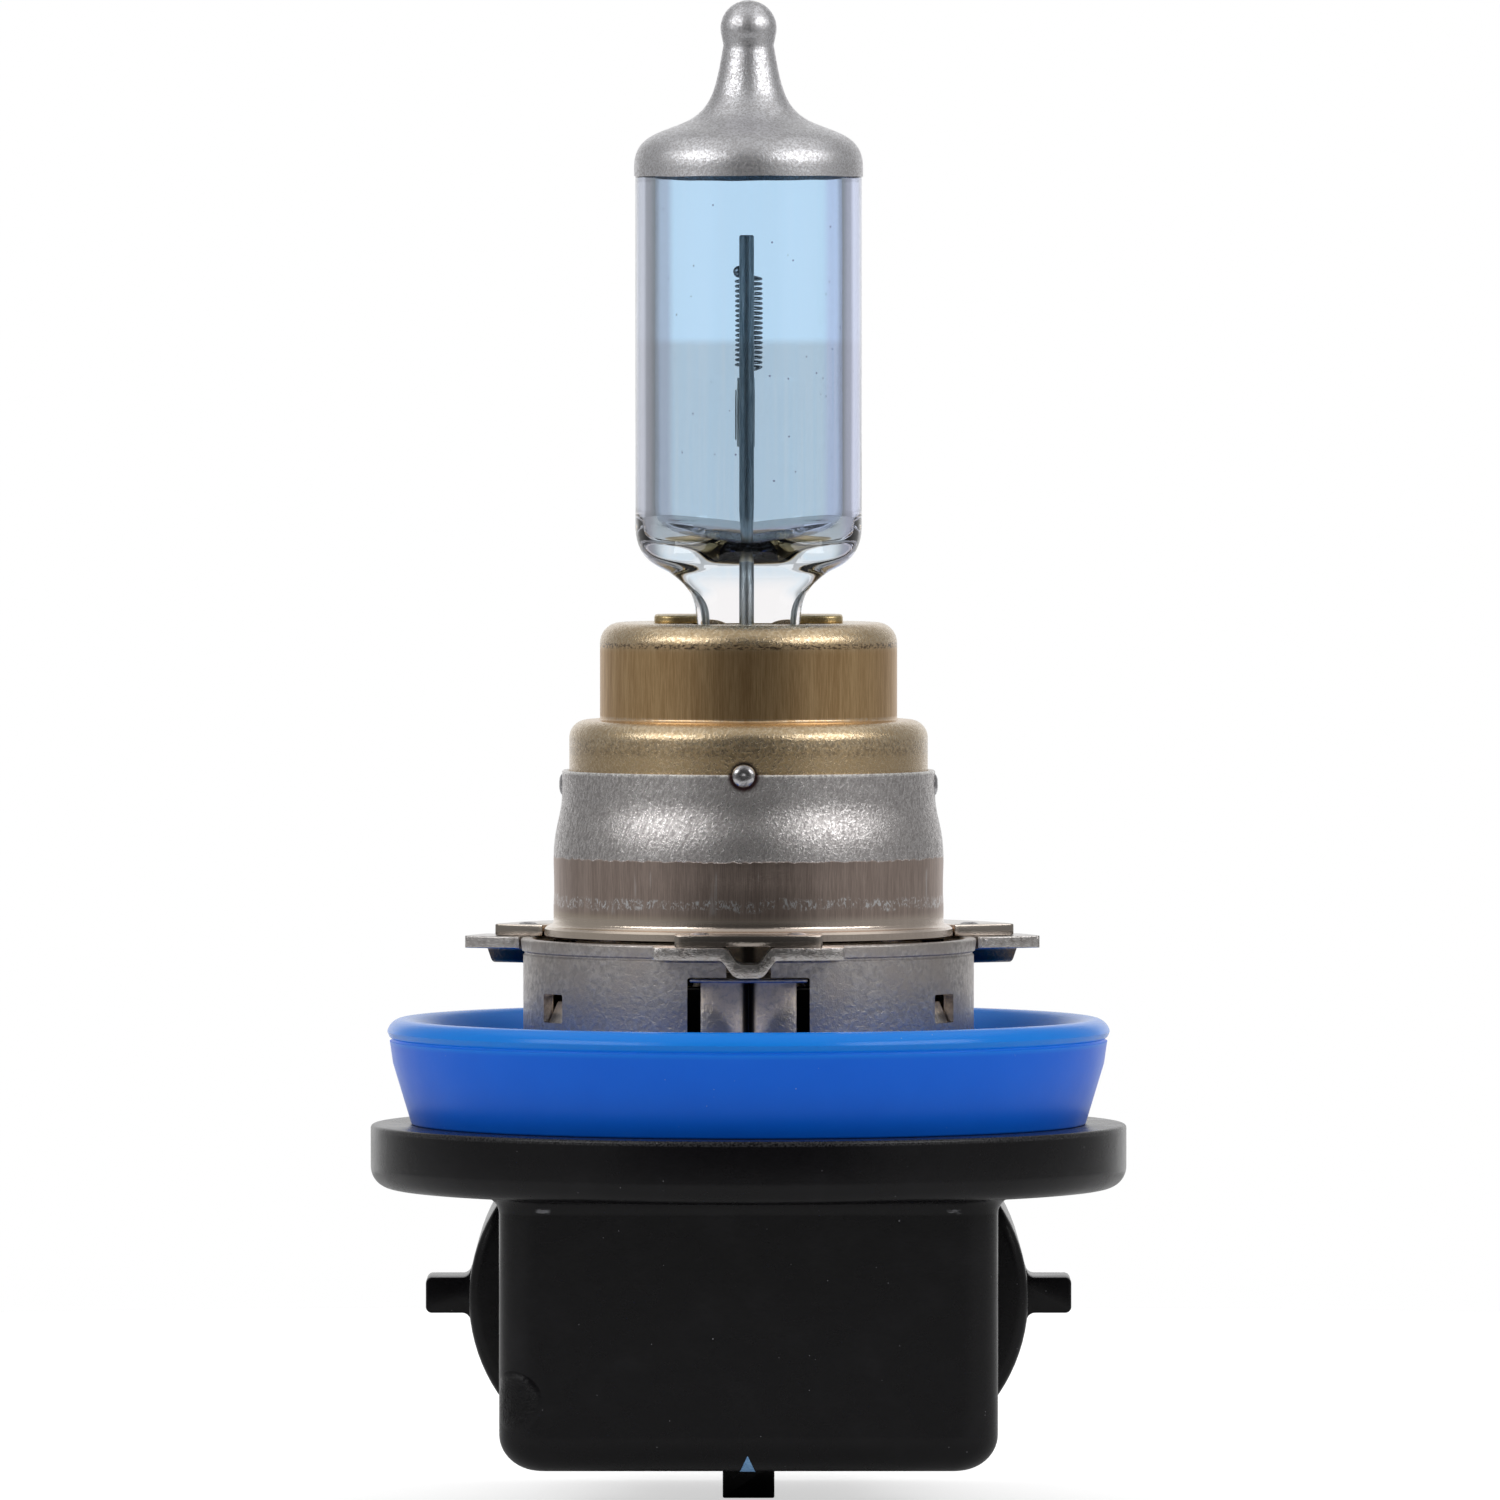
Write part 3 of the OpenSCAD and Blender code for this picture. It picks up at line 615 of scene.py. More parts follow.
def ring_steel():
    """Mottled steel, painted warmer towards the seal against its blue reflection. The lugs are polished and
    painted lighter for their glints, with painted shade in the side beads; the spring tongues are painted
    lighter and warmer, with painted shade in their crease.
    """
    s = Shader("ring_steel", metallic=1.0)
    peel = s.noise(4.2, 5, 0.62, distortion=0.4)
    broad = s.noise(0.7, 3, 0.5)
    s.set("Base Color", s.mix((0.38, 0.35, 0.33), (0.58, 0.545, 0.52), s.fit(peel, 0.32, 0.68)))
    s.paint((0.46, 0.415, 0.385), s.fit(broad, 0.4, 0.65, 0.0, 0.7))
    # painted warmer and lighter towards the seal, to offset the seal's blue reflection on the drum
    s.paint((0.66, 0.57, 0.46), s.fit(s.z, -2.5, -5.5, 0.0, 0.8))
    reach = s.reach()
    lugs = s.fit(reach, RIM_R + 0.1, RIM_R + 0.4)
    # the lugs are polished, and painted lighter for their glints
    s.paint((0.60, 0.575, 0.56), s.times(lugs, s.fit(peel, 0.3, 0.6)))
    springs = s.fit(reach, BARREL_R - 0.45, BARREL_R - 0.35, 1.0, 0.0)
    # painted light: the recessed spring tongues are much lighter and warmer than the drum
    s.paint((1.0, 0.86, 0.70), s.times(springs, s.fit(peel, 0.3, 0.6, 0.6, 1.0)))
    # painted shade: a dark line down the middle of each tongue's crease
    crease = s.times(springs, s.band(s.math("ABSOLUTE", s.x), 0.0, 0.14, 0.3))
    s.paint((0.16, 0.14, 0.12), crease)
    # painted shade in the beads of the side lugs
    side_bead_shade = s.times(s.fit(s.z, -0.05, -0.2), s.fit(s.math("ABSOLUTE", s.x), 6.0, 7.0))
    s.paint((0.12, 0.09, 0.07), s.times(side_bead_shade, lugs))
    plain = s.fit(peel, 0.3, 0.7, 0.44, 0.3)
    s.set("Roughness", s.blend(springs, s.blend(lugs, plain, 0.24), 0.5))
    fine = s.bump(s.noise(22, 3, 0.6), 0.008, 0.6)
    s.set("Normal", s.bump(peel, 0.035, 0.75, fine))
    return s


def weld_metal():
    s = Shader("weld_metal", metallic=1.0)
    swirl = s.noise(4, 3, 0.6, distortion=0.8)
    return s.one_pattern(swirl, (0.30, 0.29, 0.30), (0.66, 0.65, 0.66), 0.2, (0.3, 0.2), 0.015, 0.5)


def drawn_wire(name, dark, light, scale=14.0):
    """Fine lines along an upright wire."""
    s = Shader(name, metallic=1.0)
    along = s.noise(scale, 3, 0.6, s.stretched(1, 1, 0.08))
    return s.one_pattern(along, dark, light, 0.15, (0.42, 0.28))


def molybdenum():
    """Drawn wire that is paler towards its foot, with a painted highlight on the clip's outer strip."""
    s = drawn_wire("molybdenum", (0.24, 0.30, 0.34), (0.44, 0.51, 0.55))
    s.paint((0.50, 0.55, 0.58), s.fit(s.z, 20, 16, 0.0, 0.6))
    # painted highlight on the clip's outer strip
    s.paint((0.66, 0.69, 0.67), s.fit(s.x, -0.40, -0.44))
    return s


def clamp_spring():
    s = Shader("clamp_spring", metallic=1.0)
    return s.one_pattern(s.noise(11, 4, 0.6), (0.48, 0.36, 0.17), (0.72, 0.58, 0.32), 0.2, (0.4, 0.26))


def blue_silicone():
    """Silicone with dust and a few hairs, painted paler on the upturned lip for the light it catches."""
    s = Shader("blue_silicone", roughness=0.42, ior=1.4)
    cloud = s.noise(0.35, 3, 0.5)
    skirt = s.mix((0.002, 0.145, 0.86), (0.003, 0.17, 0.94), cloud)
    # painted light: the lip above z -3.85 is paler than the skirt
    s.set("Base Color", s.mix(skirt, (0.012, 0.28, 1.0), s.fit(s.z, -4.0, -3.7)))
    dust = s.most(s.specks(1.6, 0.14, 0.055), s.specks(3.5, 0.05, 0.09))
    hairs = s.fit(s.noise(0.8, 2, 0.5, s.stretched(1, 1, 0.6), 3.0), 0.497, 0.503)
    hairs = s.band(hairs, 0.5, 0.05, 0.1)
    hairs = s.times(hairs, s.fit(s.noise(1.7, 2), 0.66, 0.7))
    marks = s.most(dust, s.times(hairs, 0.6))
    s.paint((0.35, 0.55, 0.85), s.times(marks, 0.7))
    s.set("Roughness", s.fit(s.z, -3.75, -3.6, s.fit(cloud, 0.3, 0.7, 0.36, 0.3), 0.2))
    s.set("Specular IOR Level", 0.36)
    s.set("Subsurface Weight", 0.05)
    s.set("Subsurface Scale", 0.4 * MM)
    moulded = s.bump(s.noise(1.2, 4, 0.5), 0.02, 0.35)
    s.set("Normal", s.bump(s.noise(18, 3, 0.6), 0.004, 0.4, moulded))
    return s


def black_plastic():
    """Glossy moulded plastic with dust and a torn corner, a painted highlight along the flange's top edge,
    and small painted highlights on the back's front face where its rounded corners begin.
    """
    s = Shader("black_plastic", roughness=0.5, ior=1.49)
    grain = s.noise(14, 4, 0.65)
    cloud = s.noise(0.5, 4, 0.55)
    s.set("Base Color", s.mix((0.0015, 0.0013, 0.0019), (0.0045, 0.004, 0.0052), s.fit(grain, 0.35, 0.75)))
    s.paint((0.011, 0.0104, 0.0124), s.fit(cloud, 0.5, 0.75, 0.0, 0.4))
    # painted highlight: a lighter band along the flange's top edge
    rim = s.times(s.band(s.z, FLANGE_TOP - 0.1, 0.08, 0.08), s.fit(grain, 0.4, 0.6))
    s.paint((0.045, 0.044, 0.046), rim)
    dust = s.most(s.specks(1.3, 0.12, 0.055), s.specks(4.0, 0.05, 0.09))
    # painted highlights: pale streaks on the back's front face where its rounded corners begin, below the
    # flange; the dust is real
    glint_x, glint_z, tear = 8.47, -10.44, (-9.6, -8.9, -18.3)
    across = s.band(s.math("ABSOLUTE", s.x), glint_x, 0.16, 0.2)
    across = s.times(across, s.fit(s.y, 1 - BACK_REACH, 2 - BACK_REACH, 1.0, 0.0))
    streaky = s.fit(s.noise(4, 4, 0.7, s.stretched(0.3, 1, 2)), 0.42, 0.6)
    corner_glints = s.times(s.times(across, s.band(s.z, glint_z, 0.05, 0.09)), streaky)
    pale = s.most(dust, corner_glints)
    s.paint((0.30, 0.30, 0.32), s.times(pale, 0.75))
    s.set("Roughness", s.fit(cloud, 0.3, 0.7, 0.29, 0.24))
    s.set("Specular IOR Level", 0.28)
    torn = s.times(s.near(tear, 0.5, 0.8), s.noise(3.4, 4, 0.7))
    rough = s.bump(torn, 0.5, 1.0)
    waves = s.bump(s.noise(1.1, 3, 0.5), 0.02, 0.4, rough)
    s.set("Normal", s.bump(grain, 0.006, 0.6, waves))
    return s


def tinned_copper():
    s = Shader("tinned_copper", metallic=1.0)
    rolled = s.noise(6, 4, 0.6, s.stretched(1, 0.06, 1))
    return s.one_pattern(rolled, (0.48, 0.47, 0.45), (0.70, 0.69, 0.67), 0.15, (0.4, 0.24))


def blue_paint():
    s = Shader("blue_paint", roughness=0.6)
    worn = s.noise(9, 4, 0.7)
    return s.one_pattern(worn, (0.19, 0.41, 0.76), (0.29, 0.57, 0.93), 0.15, (0.7, 0.5), 0.01, 0.5)


def pale_floor():
    """A white table top, lifted for the eye only so that it meets the pale background."""
    s = Shader("pale_floor", roughness=0.7)
    s.set("Base Color", s.mix((0.84, 0.84, 0.84), (0.87, 0.87, 0.87), s.noise(0.02, 2)))
    s.set("Emission Color", (1, 1, 1))
    s.set("Emission Strength", s.times(s.add("LightPath").outputs["Is Camera Ray"], 0.6))
    return s


# ---- burner: glass, coat, filament and wires ----

def dome_profile(grow=0.0):
    """Outside of the dome and exhaust tip, as (radius, height) points from the tube up to the axis."""
    g = grow
    tip_z = TIP_TOP - TIP_R
    return ([(GLASS_R + g, COAT_EDGE)]
            + bezier((GLASS_R + g, SHOULDER_Z), (GLASS_R + g, SHOULDER_Z + 1.35),
                     (3.6 + g, SHOULDER_Z + 1.42), (2.55 + g, SHOULDER_Z + 1.9), 24)
            + bezier((2.47 + g, SHOULDER_Z + 1.94), (1.42 + g, SHOULDER_Z + 2.5),
                     (1.3 + g, SHOULDER_Z + 3.4), (1 + g, tip_z - 0.7), 26)
            + arc(0, tip_z, TIP_R + g, -14, 90, 20))


def oval_ring(half_x, half_y, corner, z, per_corner=40):
    """A rounded rectangle at one height, as points in the same order on every ring."""
    corner = min(corner, half_x, half_y)
    ring = []
    for cx, cy, start in ((1, 1, 0), (-1, 1, 90), (-1, -1, 180), (1, -1, 270)):
        for px, py in arc(cx * (half_x - corner), cy * (half_y - corner), corner, start, start + 90,
                          per_corner - 1):
            ring.append((px, py, z))
    return ring


def round_ring(r, z):
    """A circle with as many points as oval_ring."""
    return oval_ring(r, r, r, z)


def neck_widths():
    """Half width of the neck seen from the front, as (height, half width) stops going up."""
    upper = bezier((GLASS_R, HEEL_Z + 0.1), (GLASS_R, HEEL_Z - 1.15), (4.0, HEEL_Z - 1.5),
                   (3.35, HEEL_Z - 1.8), 12)
    lower = bezier((3.3, HEEL_Z - 1.83), (2.6, HEEL_Z - 2.3), (2.27, NECK_Z + 0.7), (2.2, NECK_Z), 12)
    return ([(NECK_Z - 1.3, 1.8), (NECK_Z - 0.6, 2.12)]
            + [(z, half) for half, z in reversed(upper + lower)] + [(HEEL_Z + 0.8, GLASS_R)])


def glass_envelope():
    """Quartz tube with a dome, a drawn-in neck and a flat pinch, round a hollow with its own shape."""
    foot, shoulder = NECK_Z - 1.3, HEEL_Z + 0.8
    outer_x = neck_widths()
    outer_y = [(foot, 4.3), (NECK_Z + 1.2, 4.38), (HEEL_Z - 0.8, 4.62), (shoulder, GLASS_R)]
    corner = [(foot, 0.85), (NECK_Z, 1.3), (NECK_Z + 0.9, 1.3), (NECK_Z + 1.8, 2.4), (HEEL_Z - 0.3, 4.4),
              (shoulder, GLASS_R)]
    rings = []
    chamfer = PINCH_BOTTOM + 0.15
    pinch_steps, neck_steps, tube_steps = 9, 64, 12
    heights = [PINCH_BOTTOM, chamfer]
    heights += [chamfer + (foot - PINCH_BOTTOM) * i / pinch_steps for i in range(1, pinch_steps)]
    heights += [foot + (HEEL_Z - NECK_Z + 2.1) * i / neck_steps for i in range(neck_steps + 1)]
    for z in heights:
        inset = 0.12 if z == PINCH_BOTTOM else 0.0
        rings.append(oval_ring(interpolate(outer_x, z) - inset, interpolate(outer_y, z) - inset,
                               interpolate(corner, z), z))
    for i in range(1, tube_steps):
        z = shoulder + (COAT_EDGE - HEEL_Z - 0.8) * i / tube_steps
        rings.append(round_ring(GLASS_R, z))
    rings += [round_ring(max(r, 0.004), z) for r, z in dome_profile()]

    inside = (bezier((1.3, HOLLOW_FLOOR), (3.2, HOLLOW_FLOOR + 0.15), (BORE_R, HOLLOW_FLOOR + 0.9),
                     (BORE_R, HEEL_Z + 0.7), 32)
              + bezier((BORE_R, SHOULDER_Z), (BORE_R, SHOULDER_Z + 0.95), (2.7, SHOULDER_Z + 1.1),
                       (1.9, SHOULDER_Z + 1.55), 16))
    dish = [(0.005, HOLLOW_FLOOR)] + inside + [(1.0, SHOULDER_Z + 2.1), (0.3, SHOULDER_Z + 2.5)]
    hollow = [round_ring(r, z) for r, z in dish]
    body = loft("glass_outside", rings)
    cavity = loft("glass_hollow", hollow)
    cavity.data.flip_normals()
    return joined("quartz_envelope", [body, cavity])


def silver_tip():
    """The silver coat over the dome and exhaust tip, with a slightly uneven lower edge."""
    outside = dome_profile(COAT_T - 0.002)
    inside = [(max(r - 0.004, 0.0), z) for r, z in reversed(dome_profile(0.012))]
    coat = lathe("silvered_tip", outside + inside)
    for vertex in coat.data.vertices:
        drop = vertex.co.z / MM - COAT_EDGE
        if drop < 0.05:
            around = math.atan2(vertex.co.x, -vertex.co.y)
            wave = 0.014 * (math.sin(3 * around + 0.6) + 0.5 * math.sin(11 * around))
            vertex.co.z += (0.021 + wave) * MM
    return coat


def coil_points(steps_per_turn=28):
    """The filament's helix. It bows a little to the right at mid-height, as a used coil does."""
    points = []
    radius = COIL_R - COIL_WIRE_R
    total = COIL_TURNS * steps_per_turn
    for i in range(total + 1):
        share = i / total
        angle = 2 * math.pi * i / steps_per_turn
        bow = 0.02 * math.sin(math.pi * share)
        points.append((radius * 0.97 * math.cos(angle) + bow, radius * math.sin(angle),
                       COIL_LOW + COIL_LENGTH * share))
    return points


def filament():
    """The coil with its two tails, one to the long wire in front and one to the short wire behind."""
    coil = coil_points()
    top, bottom = Vector(coil[-1]), Vector(coil[0])
    gap = POST_R + COIL_WIRE_R
    upper_tail = [top, top + Vector((-0.18, -0.35, 0.05)), Vector((-0.05, -POST_Y * 0.5, top.z + 0.14)),
                  Vector((POST_X, -POST_Y + gap, top.z + 0.25))]
    lower_tail = [bottom, bottom + Vector((-0.15, 0.35, -0.06)),
                  Vector((0.0, POST_Y * 0.5, bottom.z - 0.2)),
                  Vector((POST_X, POST_Y - gap, bottom.z - 0.5))]
    return joined("tungsten_filament", [
        tube("coil", coil, COIL_WIRE_R, 10),
        tube("upper_tail", smooth_path(upper_tail), COIL_WIRE_R, 10),
        tube("lower_tail", smooth_path(lower_tail), COIL_WIRE_R, 10)])


def smooth_path(points, steps=8):
    """A curve through the points."""
    padded = [points[0] * 2 - points[1]] + list(points) + [points[-1] * 2 - points[-2]]
    path = []
    for a, b, c, d in zip(padded, padded[1:], padded[2:], padded[3:]):
        for k in range(steps):
            t = k / steps
            path.append(0.5 * (2 * b + (c - a) * t + (2 * a - 5 * b + 4 * c - d) * t * t
                               + (3 * b - a - 3 * c + d) * t ** 3))
    path.append(points[-1])
    return path


def post(name, y, node):
    """A support wire with a cropped, slightly chamfered end."""
    bottom, top = low(node).z, high(node).z
    profile = [(0, bottom), (POST_R, bottom), (POST_R, top - 0.06), (POST_R - 0.05, top), (0, top)]
    return lathe(name, profile, closed=False, segments=48, about=(POST_X, y))


def weld_bead():
    """The rough ball that fixes the upper tail to the long wire."""
    centre = (POST_X - 0.3, -POST_Y + 0.3)
    z = COIL_LOW + COIL_LENGTH + 0.28
    bead = lathe("filament_bead", [(0, z - 0.25)] + arc(0, z, 0.25, -80, 80, 16) + [(0, z + 0.25)],
                 closed=False, segments=40, about=centre)
    for vertex in bead.data.vertices:
        p = vertex.co / MM
        lump = 0.025 * (math.sin(9 * p.x + 4 * p.z) + math.sin(11 * p.y - 7 * p.z))
        vertex.co += (vertex.co - Vector((*centre, z)) * MM).normalized() * min(lump, 0.0) * MM
    return bead


def filament_clip():
    """The folded molybdenum strip that grips the lower tail against the short wire."""
    z0, z1 = low("filament_clip").z, high("filament_clip").z
    y0, y1 = low("filament_clip").y, high("filament_clip").y
    x0, x1 = low("filament_clip").x, POST_X + POST_R + 0.04
    strip, left = 0.09, x0 + 0.08
    fold = [(left, y1), (left, y0), (x1, y0), (x1, y1), (x1 - strip, y1), (x1 - strip, y0 + strip),
            (left + strip, y0 + strip), (left + strip, y1)]
    sleeve = prism("sleeve", rounded(fold, 0.035, 3), z0, z1, "z")
    flap = prism("flap", rectangle(x0, y0 + 0.1, x0 + 0.06, y0 + 0.6), z0 + 0.3, z0 + 2.4, "z")
    return round_edges(joined("filament_clip_strip", [sleeve, flap]), 0.015)


def pinch_foil(name, node):
    """A sealing foil with feathered edges."""
    a, b = low(node), high(node)
    middle = (a.y + b.y) / 2
    outline = [(a.y, 0.0), (middle, (b.x - a.x) / 2), (b.y, 0.0), (middle, -(b.x - a.x) / 2)]
    ring = rounded([(y, x) for y, x in outline], 0.02, 2)
    return loft(name, [[(x, y, z) for y, x in ring] for z in (a.z, b.z)])


def outer_lead(name, node, side):
    """The wire from a foil to its terminal's riser."""
    lead_r, weld_x, weld_y = 0.32, side * 2.68, -1.6
    points = [Vector((0, side * POST_Y, high(node).z)), Vector((0, side * POST_Y, PINCH_BOTTOM - 2)),
              Vector((weld_x, weld_y, -3.0)), Vector((weld_x, weld_y, low(node).z))]
    path = []
    for here, there in zip(points, points[1:]):
        path += [here.lerp(there, t) for t in (0.06, 0.5, 0.94)]
    return tube(name, [points[0]] + path + [points[-1]], lead_r, 20)


# ---- metal base ----

def bronze_drum():
    """The stepped cap, drawn from sheet, with the slot that the pinch stands in."""
    t, upper, lower, bottom = CAP_T, CAP_UPPER_R, CAP_LOWER_R, low("burner_holder_cap").z
    outside = ([(lower - 0.03, bottom), (lower, bottom + 0.1)]
               + arc(lower - 0.75, CAP_STEP - 0.75, 0.75, 0, 84, 14)
               + arc(upper + 0.12, CAP_STEP + 0.12, 0.12, 270, 180, 6)
               + arc(upper - 0.85, CAP_TOP - 0.85, 0.85, 0, 90, 16) + [(0, CAP_TOP)])
    inside = ([(0, CAP_TOP - t)] + arc(upper - t - 0.5, CAP_TOP - t - 0.5, 0.5, 90, 0, 8)
              + [(upper - t, CAP_STEP - t)] + arc(lower - t - 0.4, CAP_STEP - t - 0.4, 0.4, 90, 0, 8)
              + [(lower - t, bottom)])
    cap = lathe("bronze_cap", outside + inside)
    x, y = SLOT_HALF
    slot = prism("slot", rounded(rectangle(-x, -y, x, y), 0.8, 6), CAP_TOP - 2, CAP_TOP + 1, "z")
    return round_edges(combine(cap, "DIFFERENCE", [slot]), 0.06, 50)


def clamp():
    """Spring clamp: a washer under the cap's top, and two leaves with curled lips that lie on the cap."""
    t, x, top, bottom, half = 0.16, 1.82, CAP_TOP + 0.32, 7.4, LEAF_W / 2
    leaves = []
    for side in (1, -1):
        riser = prism("riser", rectangle(side * x, bottom, side * (x + t), top - 0.1), -half, half)
        plan = rounded(rectangle(side * x, -half, side * LEAF_REACH, half), [0.1, 0.9, 0.9, 0.1], 8)
        lip = round_edges(prism("lip", plan, CAP_TOP - 0.02, top, "z"), 0.2, 50, 5)
        leaves += [round_edges(riser, 0.04, 50), lip]
    z = CAP_TOP - CAP_T - 0.3
    washer = lathe("washer", rectangle(2.0, z, CAP_UPPER_R - CAP_T - 0.4, z + 0.3))
    slot = prism("pinch_slot", rectangle(-1.8, -4.4, 1.8, 4.4), z - 1, z + 1, "z")
    return joined("pinch_spring_clamp", leaves + [combine(washer, "DIFFERENCE", [slot])])


def lug_plan(inner, reach, half, corner, steps):
    """A lug's plan: its inner points, then an end on a circle about the axis, with rounded corners."""
    edge = math.degrees(math.asin(half / reach))
    outer = [(reach * math.sin(math.radians(a)), -reach * math.cos(math.radians(a)))
             for a in [-edge + 2 * edge * i / steps for i in range(steps + 1)]]
    return rounded(inner + outer, [0] * len(inner) + [corner] + [0] * (steps - 1) + [corner], 4)


def focus_collar():
    """Steel sleeve that swells below the cap and flares into a flange with three lugs."""
    z0, z1 = PLATE_T + 0.05, PLATE_T + 0.5
    low_r, lip = COLLAR_R, COLLAR_LIP_R
    wall = (bezier((low_r, 3.65), (low_r + 0.01, 5.1), (lip + 0.07, 5.4), (lip + 0.005, 6.35), 20)
            + [(lip, 6.6), (lip, COLLAR_TOP - 0.06), (lip - 0.06, COLLAR_TOP)])
    outside = (arc(low_r + 0.26, z1 + 0.26, 0.26, 270, 180, 6)
               + [(low_r, 1.9), (low_r - 0.025, 2.4), (low_r - 0.02, 3.0)] + wall)
    t = COLLAR_T
    inside = [(lip - t + 0.05, COLLAR_TOP), (lip - t, COLLAR_TOP - 0.05), (lip - t, 6.0), (low_r - t, 3.6),
              (low_r - t, z0)]
    rim = [(COLLAR_FLANGE_R - 0.08, z0), (COLLAR_FLANGE_R, z0 + 0.08), (COLLAR_FLANGE_R, z1 - 0.1),
           (COLLAR_FLANGE_R - 0.1, z1)]
    collar = lathe("steel_collar", rim + outside + inside)
    lugs = []
    half, start = COLLAR_LUG_W / 2, COLLAR_R + 0.05
    for angle in LUG_ANGLES:
        reach = COLLAR_LUG_REACH + (COLLAR_LUG_EXTRA if angle == LONG_LUG else 0)
        plan = lug_plan([(half, -start), (-half, -start)], reach, half, 0.5, 16)
        lug = prism("lug", plan, PLATE_T + 0.01, z1 - 0.015, "z")
        lugs.append(turned(round_edges(lug, 0.05, 50), angle))
    return combine(collar, "UNION", lugs)


def collar_welds():
    """Domed weld spots at the collar's upper edge, each with a sunken middle."""
    spots = []
    for x, y, z in weld_centres():
        profile = ([(0, -0.12), (0.49, -0.12)]
                   + bezier((0.49, 0.0), (0.46, 0.12), (0.32, 0.2), (0.12, 0.2))
                   + [(0.07, 0.185), (0, 0.175)])
        spot = lathe("weld", profile, closed=False, segments=40)
        outward = Vector((x, y, 0)).normalized()
        tip_over = Matrix.Rotation(math.radians(90), 4, outward.cross(Vector((0, 0, 1))))
        spot.data.transform(tip_over.inverted())
        spot.data.transform(Matrix.Translation(Vector((x, y, z)) * MM))
        spots.append(spot)
    return joined("collar_weld_spots_detail", spots)


def lug_strip():
    """A bayonet lug seen from its end: a flat strip with a bead pressed down in its middle."""
    half = LUG_W / 2
    t, depth = PLATE_T, BEAD_DEPTH
    dip = t - depth + 0.05
    top = [(-half, t), (-0.944, t), (-0.44, dip), (0.44, dip), (0.944, t), (half, t)]
    under = [(half, 0), (1.105, 0), (0.578, -depth), (-0.578, -depth), (-1.105, 0), (-half, 0)]
    return rounded(top + under, [0.06, 0.3, 0.4, 0.4, 0.3, 0.06, 0.06, 0.25, 0.5, 0.5, 0.25, 0.06], 6)


def bayonet_lug(reach):
    """A beaded lug whose end lies on a circle of radius reach."""
    strip = prism("strip", lug_strip(), -reach - 1, -BARREL_R + 0.6)
    half = LUG_W / 2
    inner = [(half, -8.6)] + arc(0, 0, BARREL_R - BARREL_T / 2, -65, -115, 24) + [(-half, -8.6)]
    limit = prism("limit", lug_plan(inner, reach, half, 0.55, 24), -2, 2, "z")
    return round_edges(combine(strip, "INTERSECT", [limit]), 0.05, 50)


def tongue():
    """A springy tongue with two swells and a deep crease, hung from a ledge as wide as the window."""
    t, bottom, top = 0.28, -6.5, -1.0
    swell = (arc(-1.1, 3.1, 3.2, 254, 283, 12)
             + bezier((-0.3, 0.0), (-0.12, 0.06), (-0.1, 0.6), (0.0, 0.62), 8))
    wave = swell + [(-x, y) for x, y in reversed(swell[:-1])]
    rings = []
    steps = 18
    for i in range(steps + 1):
        z = bottom + (top - bottom) * i / steps
        y0 = -BARREL_R + BARREL_T + interpolate([(bottom, 0.2), (-3.4, 0.04), (top, 0.3)], z)
        front = [(x, y0 + y, z) for x, y in wave]
        back = [(x, y0 + y + t, z) for x, y in reversed(wave)]
        rings.append(front + back)
    spring = round_edges(loft("tongue", rings), 0.04, 50)
    half = math.degrees(math.asin(TONGUE_WINDOW[0] / 2 / BARREL_R)) - 0.3
    plan = (arc(0, 0, BARREL_R - 0.07, 270 - half, 270 + half, 16)
            + arc(0, 0, 8.5, 270 + half, 270 - half, 16))
    ledge = round_edges(prism("ledge", plan, -1.03, -0.87, "z"), 0.07, 50, 3)
    return joined("sprung_tongue", [spring, ledge])


def snap_lance():
    """A flap bent inwards in a small window, which snaps behind the plastic."""
    half = SNAP_WINDOW[0] / 2 - 0.1
    lance = prism("lance", rectangle(-half, 0, half, 1.15), 0, 0.25)
    lance.data.transform(Matrix.Rotation(math.radians(-26), 4, "X"))
    lance.data.transform(Matrix.Translation(Vector((0, -BARREL_R + 0.14, SNAP_WINDOW[2] - 0.16)) * MM))
    return round_edges(lance, 0.04, 50)


def bayonet_drum():
    """The drum with its rolled rim, three beaded lugs, windows, spring tongues and snap lances."""
    seat_r, seat_z = SEAL_SEAT
    bore = BARREL_R - BARREL_T
    profile = ([(bore, FLANGE_TOP), (seat_r, FLANGE_TOP), (seat_r, seat_z), (BARREL_R, seat_z + 0.04)]
               + [(BARREL_R, -0.2), (BARREL_R - 0.06, -0.12), (BARREL_R - 0.06, -0.06), (RIM_R - 0.05, 0.0)]
               + arc(RIM_R - 0.1, PLATE_T - 0.1, 0.1, 0, 90, 5)
               + arc(bore + 0.15, PLATE_T - 0.15, 0.15, 90, 180, 5))
    drum = lathe("drum", profile, segments=240)
    cuts = []
    w, top, bottom = TONGUE_WINDOW
    for angle in LUG_ANGLES:
        for opening in (rounded(rectangle(-w / 2, bottom, w / 2, top), 0.12, 4),
                        rectangle(-0.92, top - 0.3, 0.92, 2)):
            cuts.append(turned(prism("window", opening, *THROUGH_WALL), angle))
    w, top, bottom = SNAP_WINDOW
    for angle in SNAP_ANGLES:
        opening = rounded(rectangle(-w / 2, bottom, w / 2, top), 0.1, 4)
        cuts.append(turned(prism("snap_window", opening, *THROUGH_WALL), angle))
    drum = combine(drum, "DIFFERENCE", cuts)
    lugs = [turned(bayonet_lug(LUG_REACH + (LUG_EXTRA if angle == LONG_LUG else 0)), angle)
            for angle in LUG_ANGLES]
    drum = combine(drum, "UNION", lugs)
    springs = [turned(tongue(), angle) for angle in LUG_ANGLES]
    lances = [turned(snap_lance(), angle) for angle in SNAP_ANGLES]
    return joined("bayonet_ring_detail", [drum] + springs + lances)


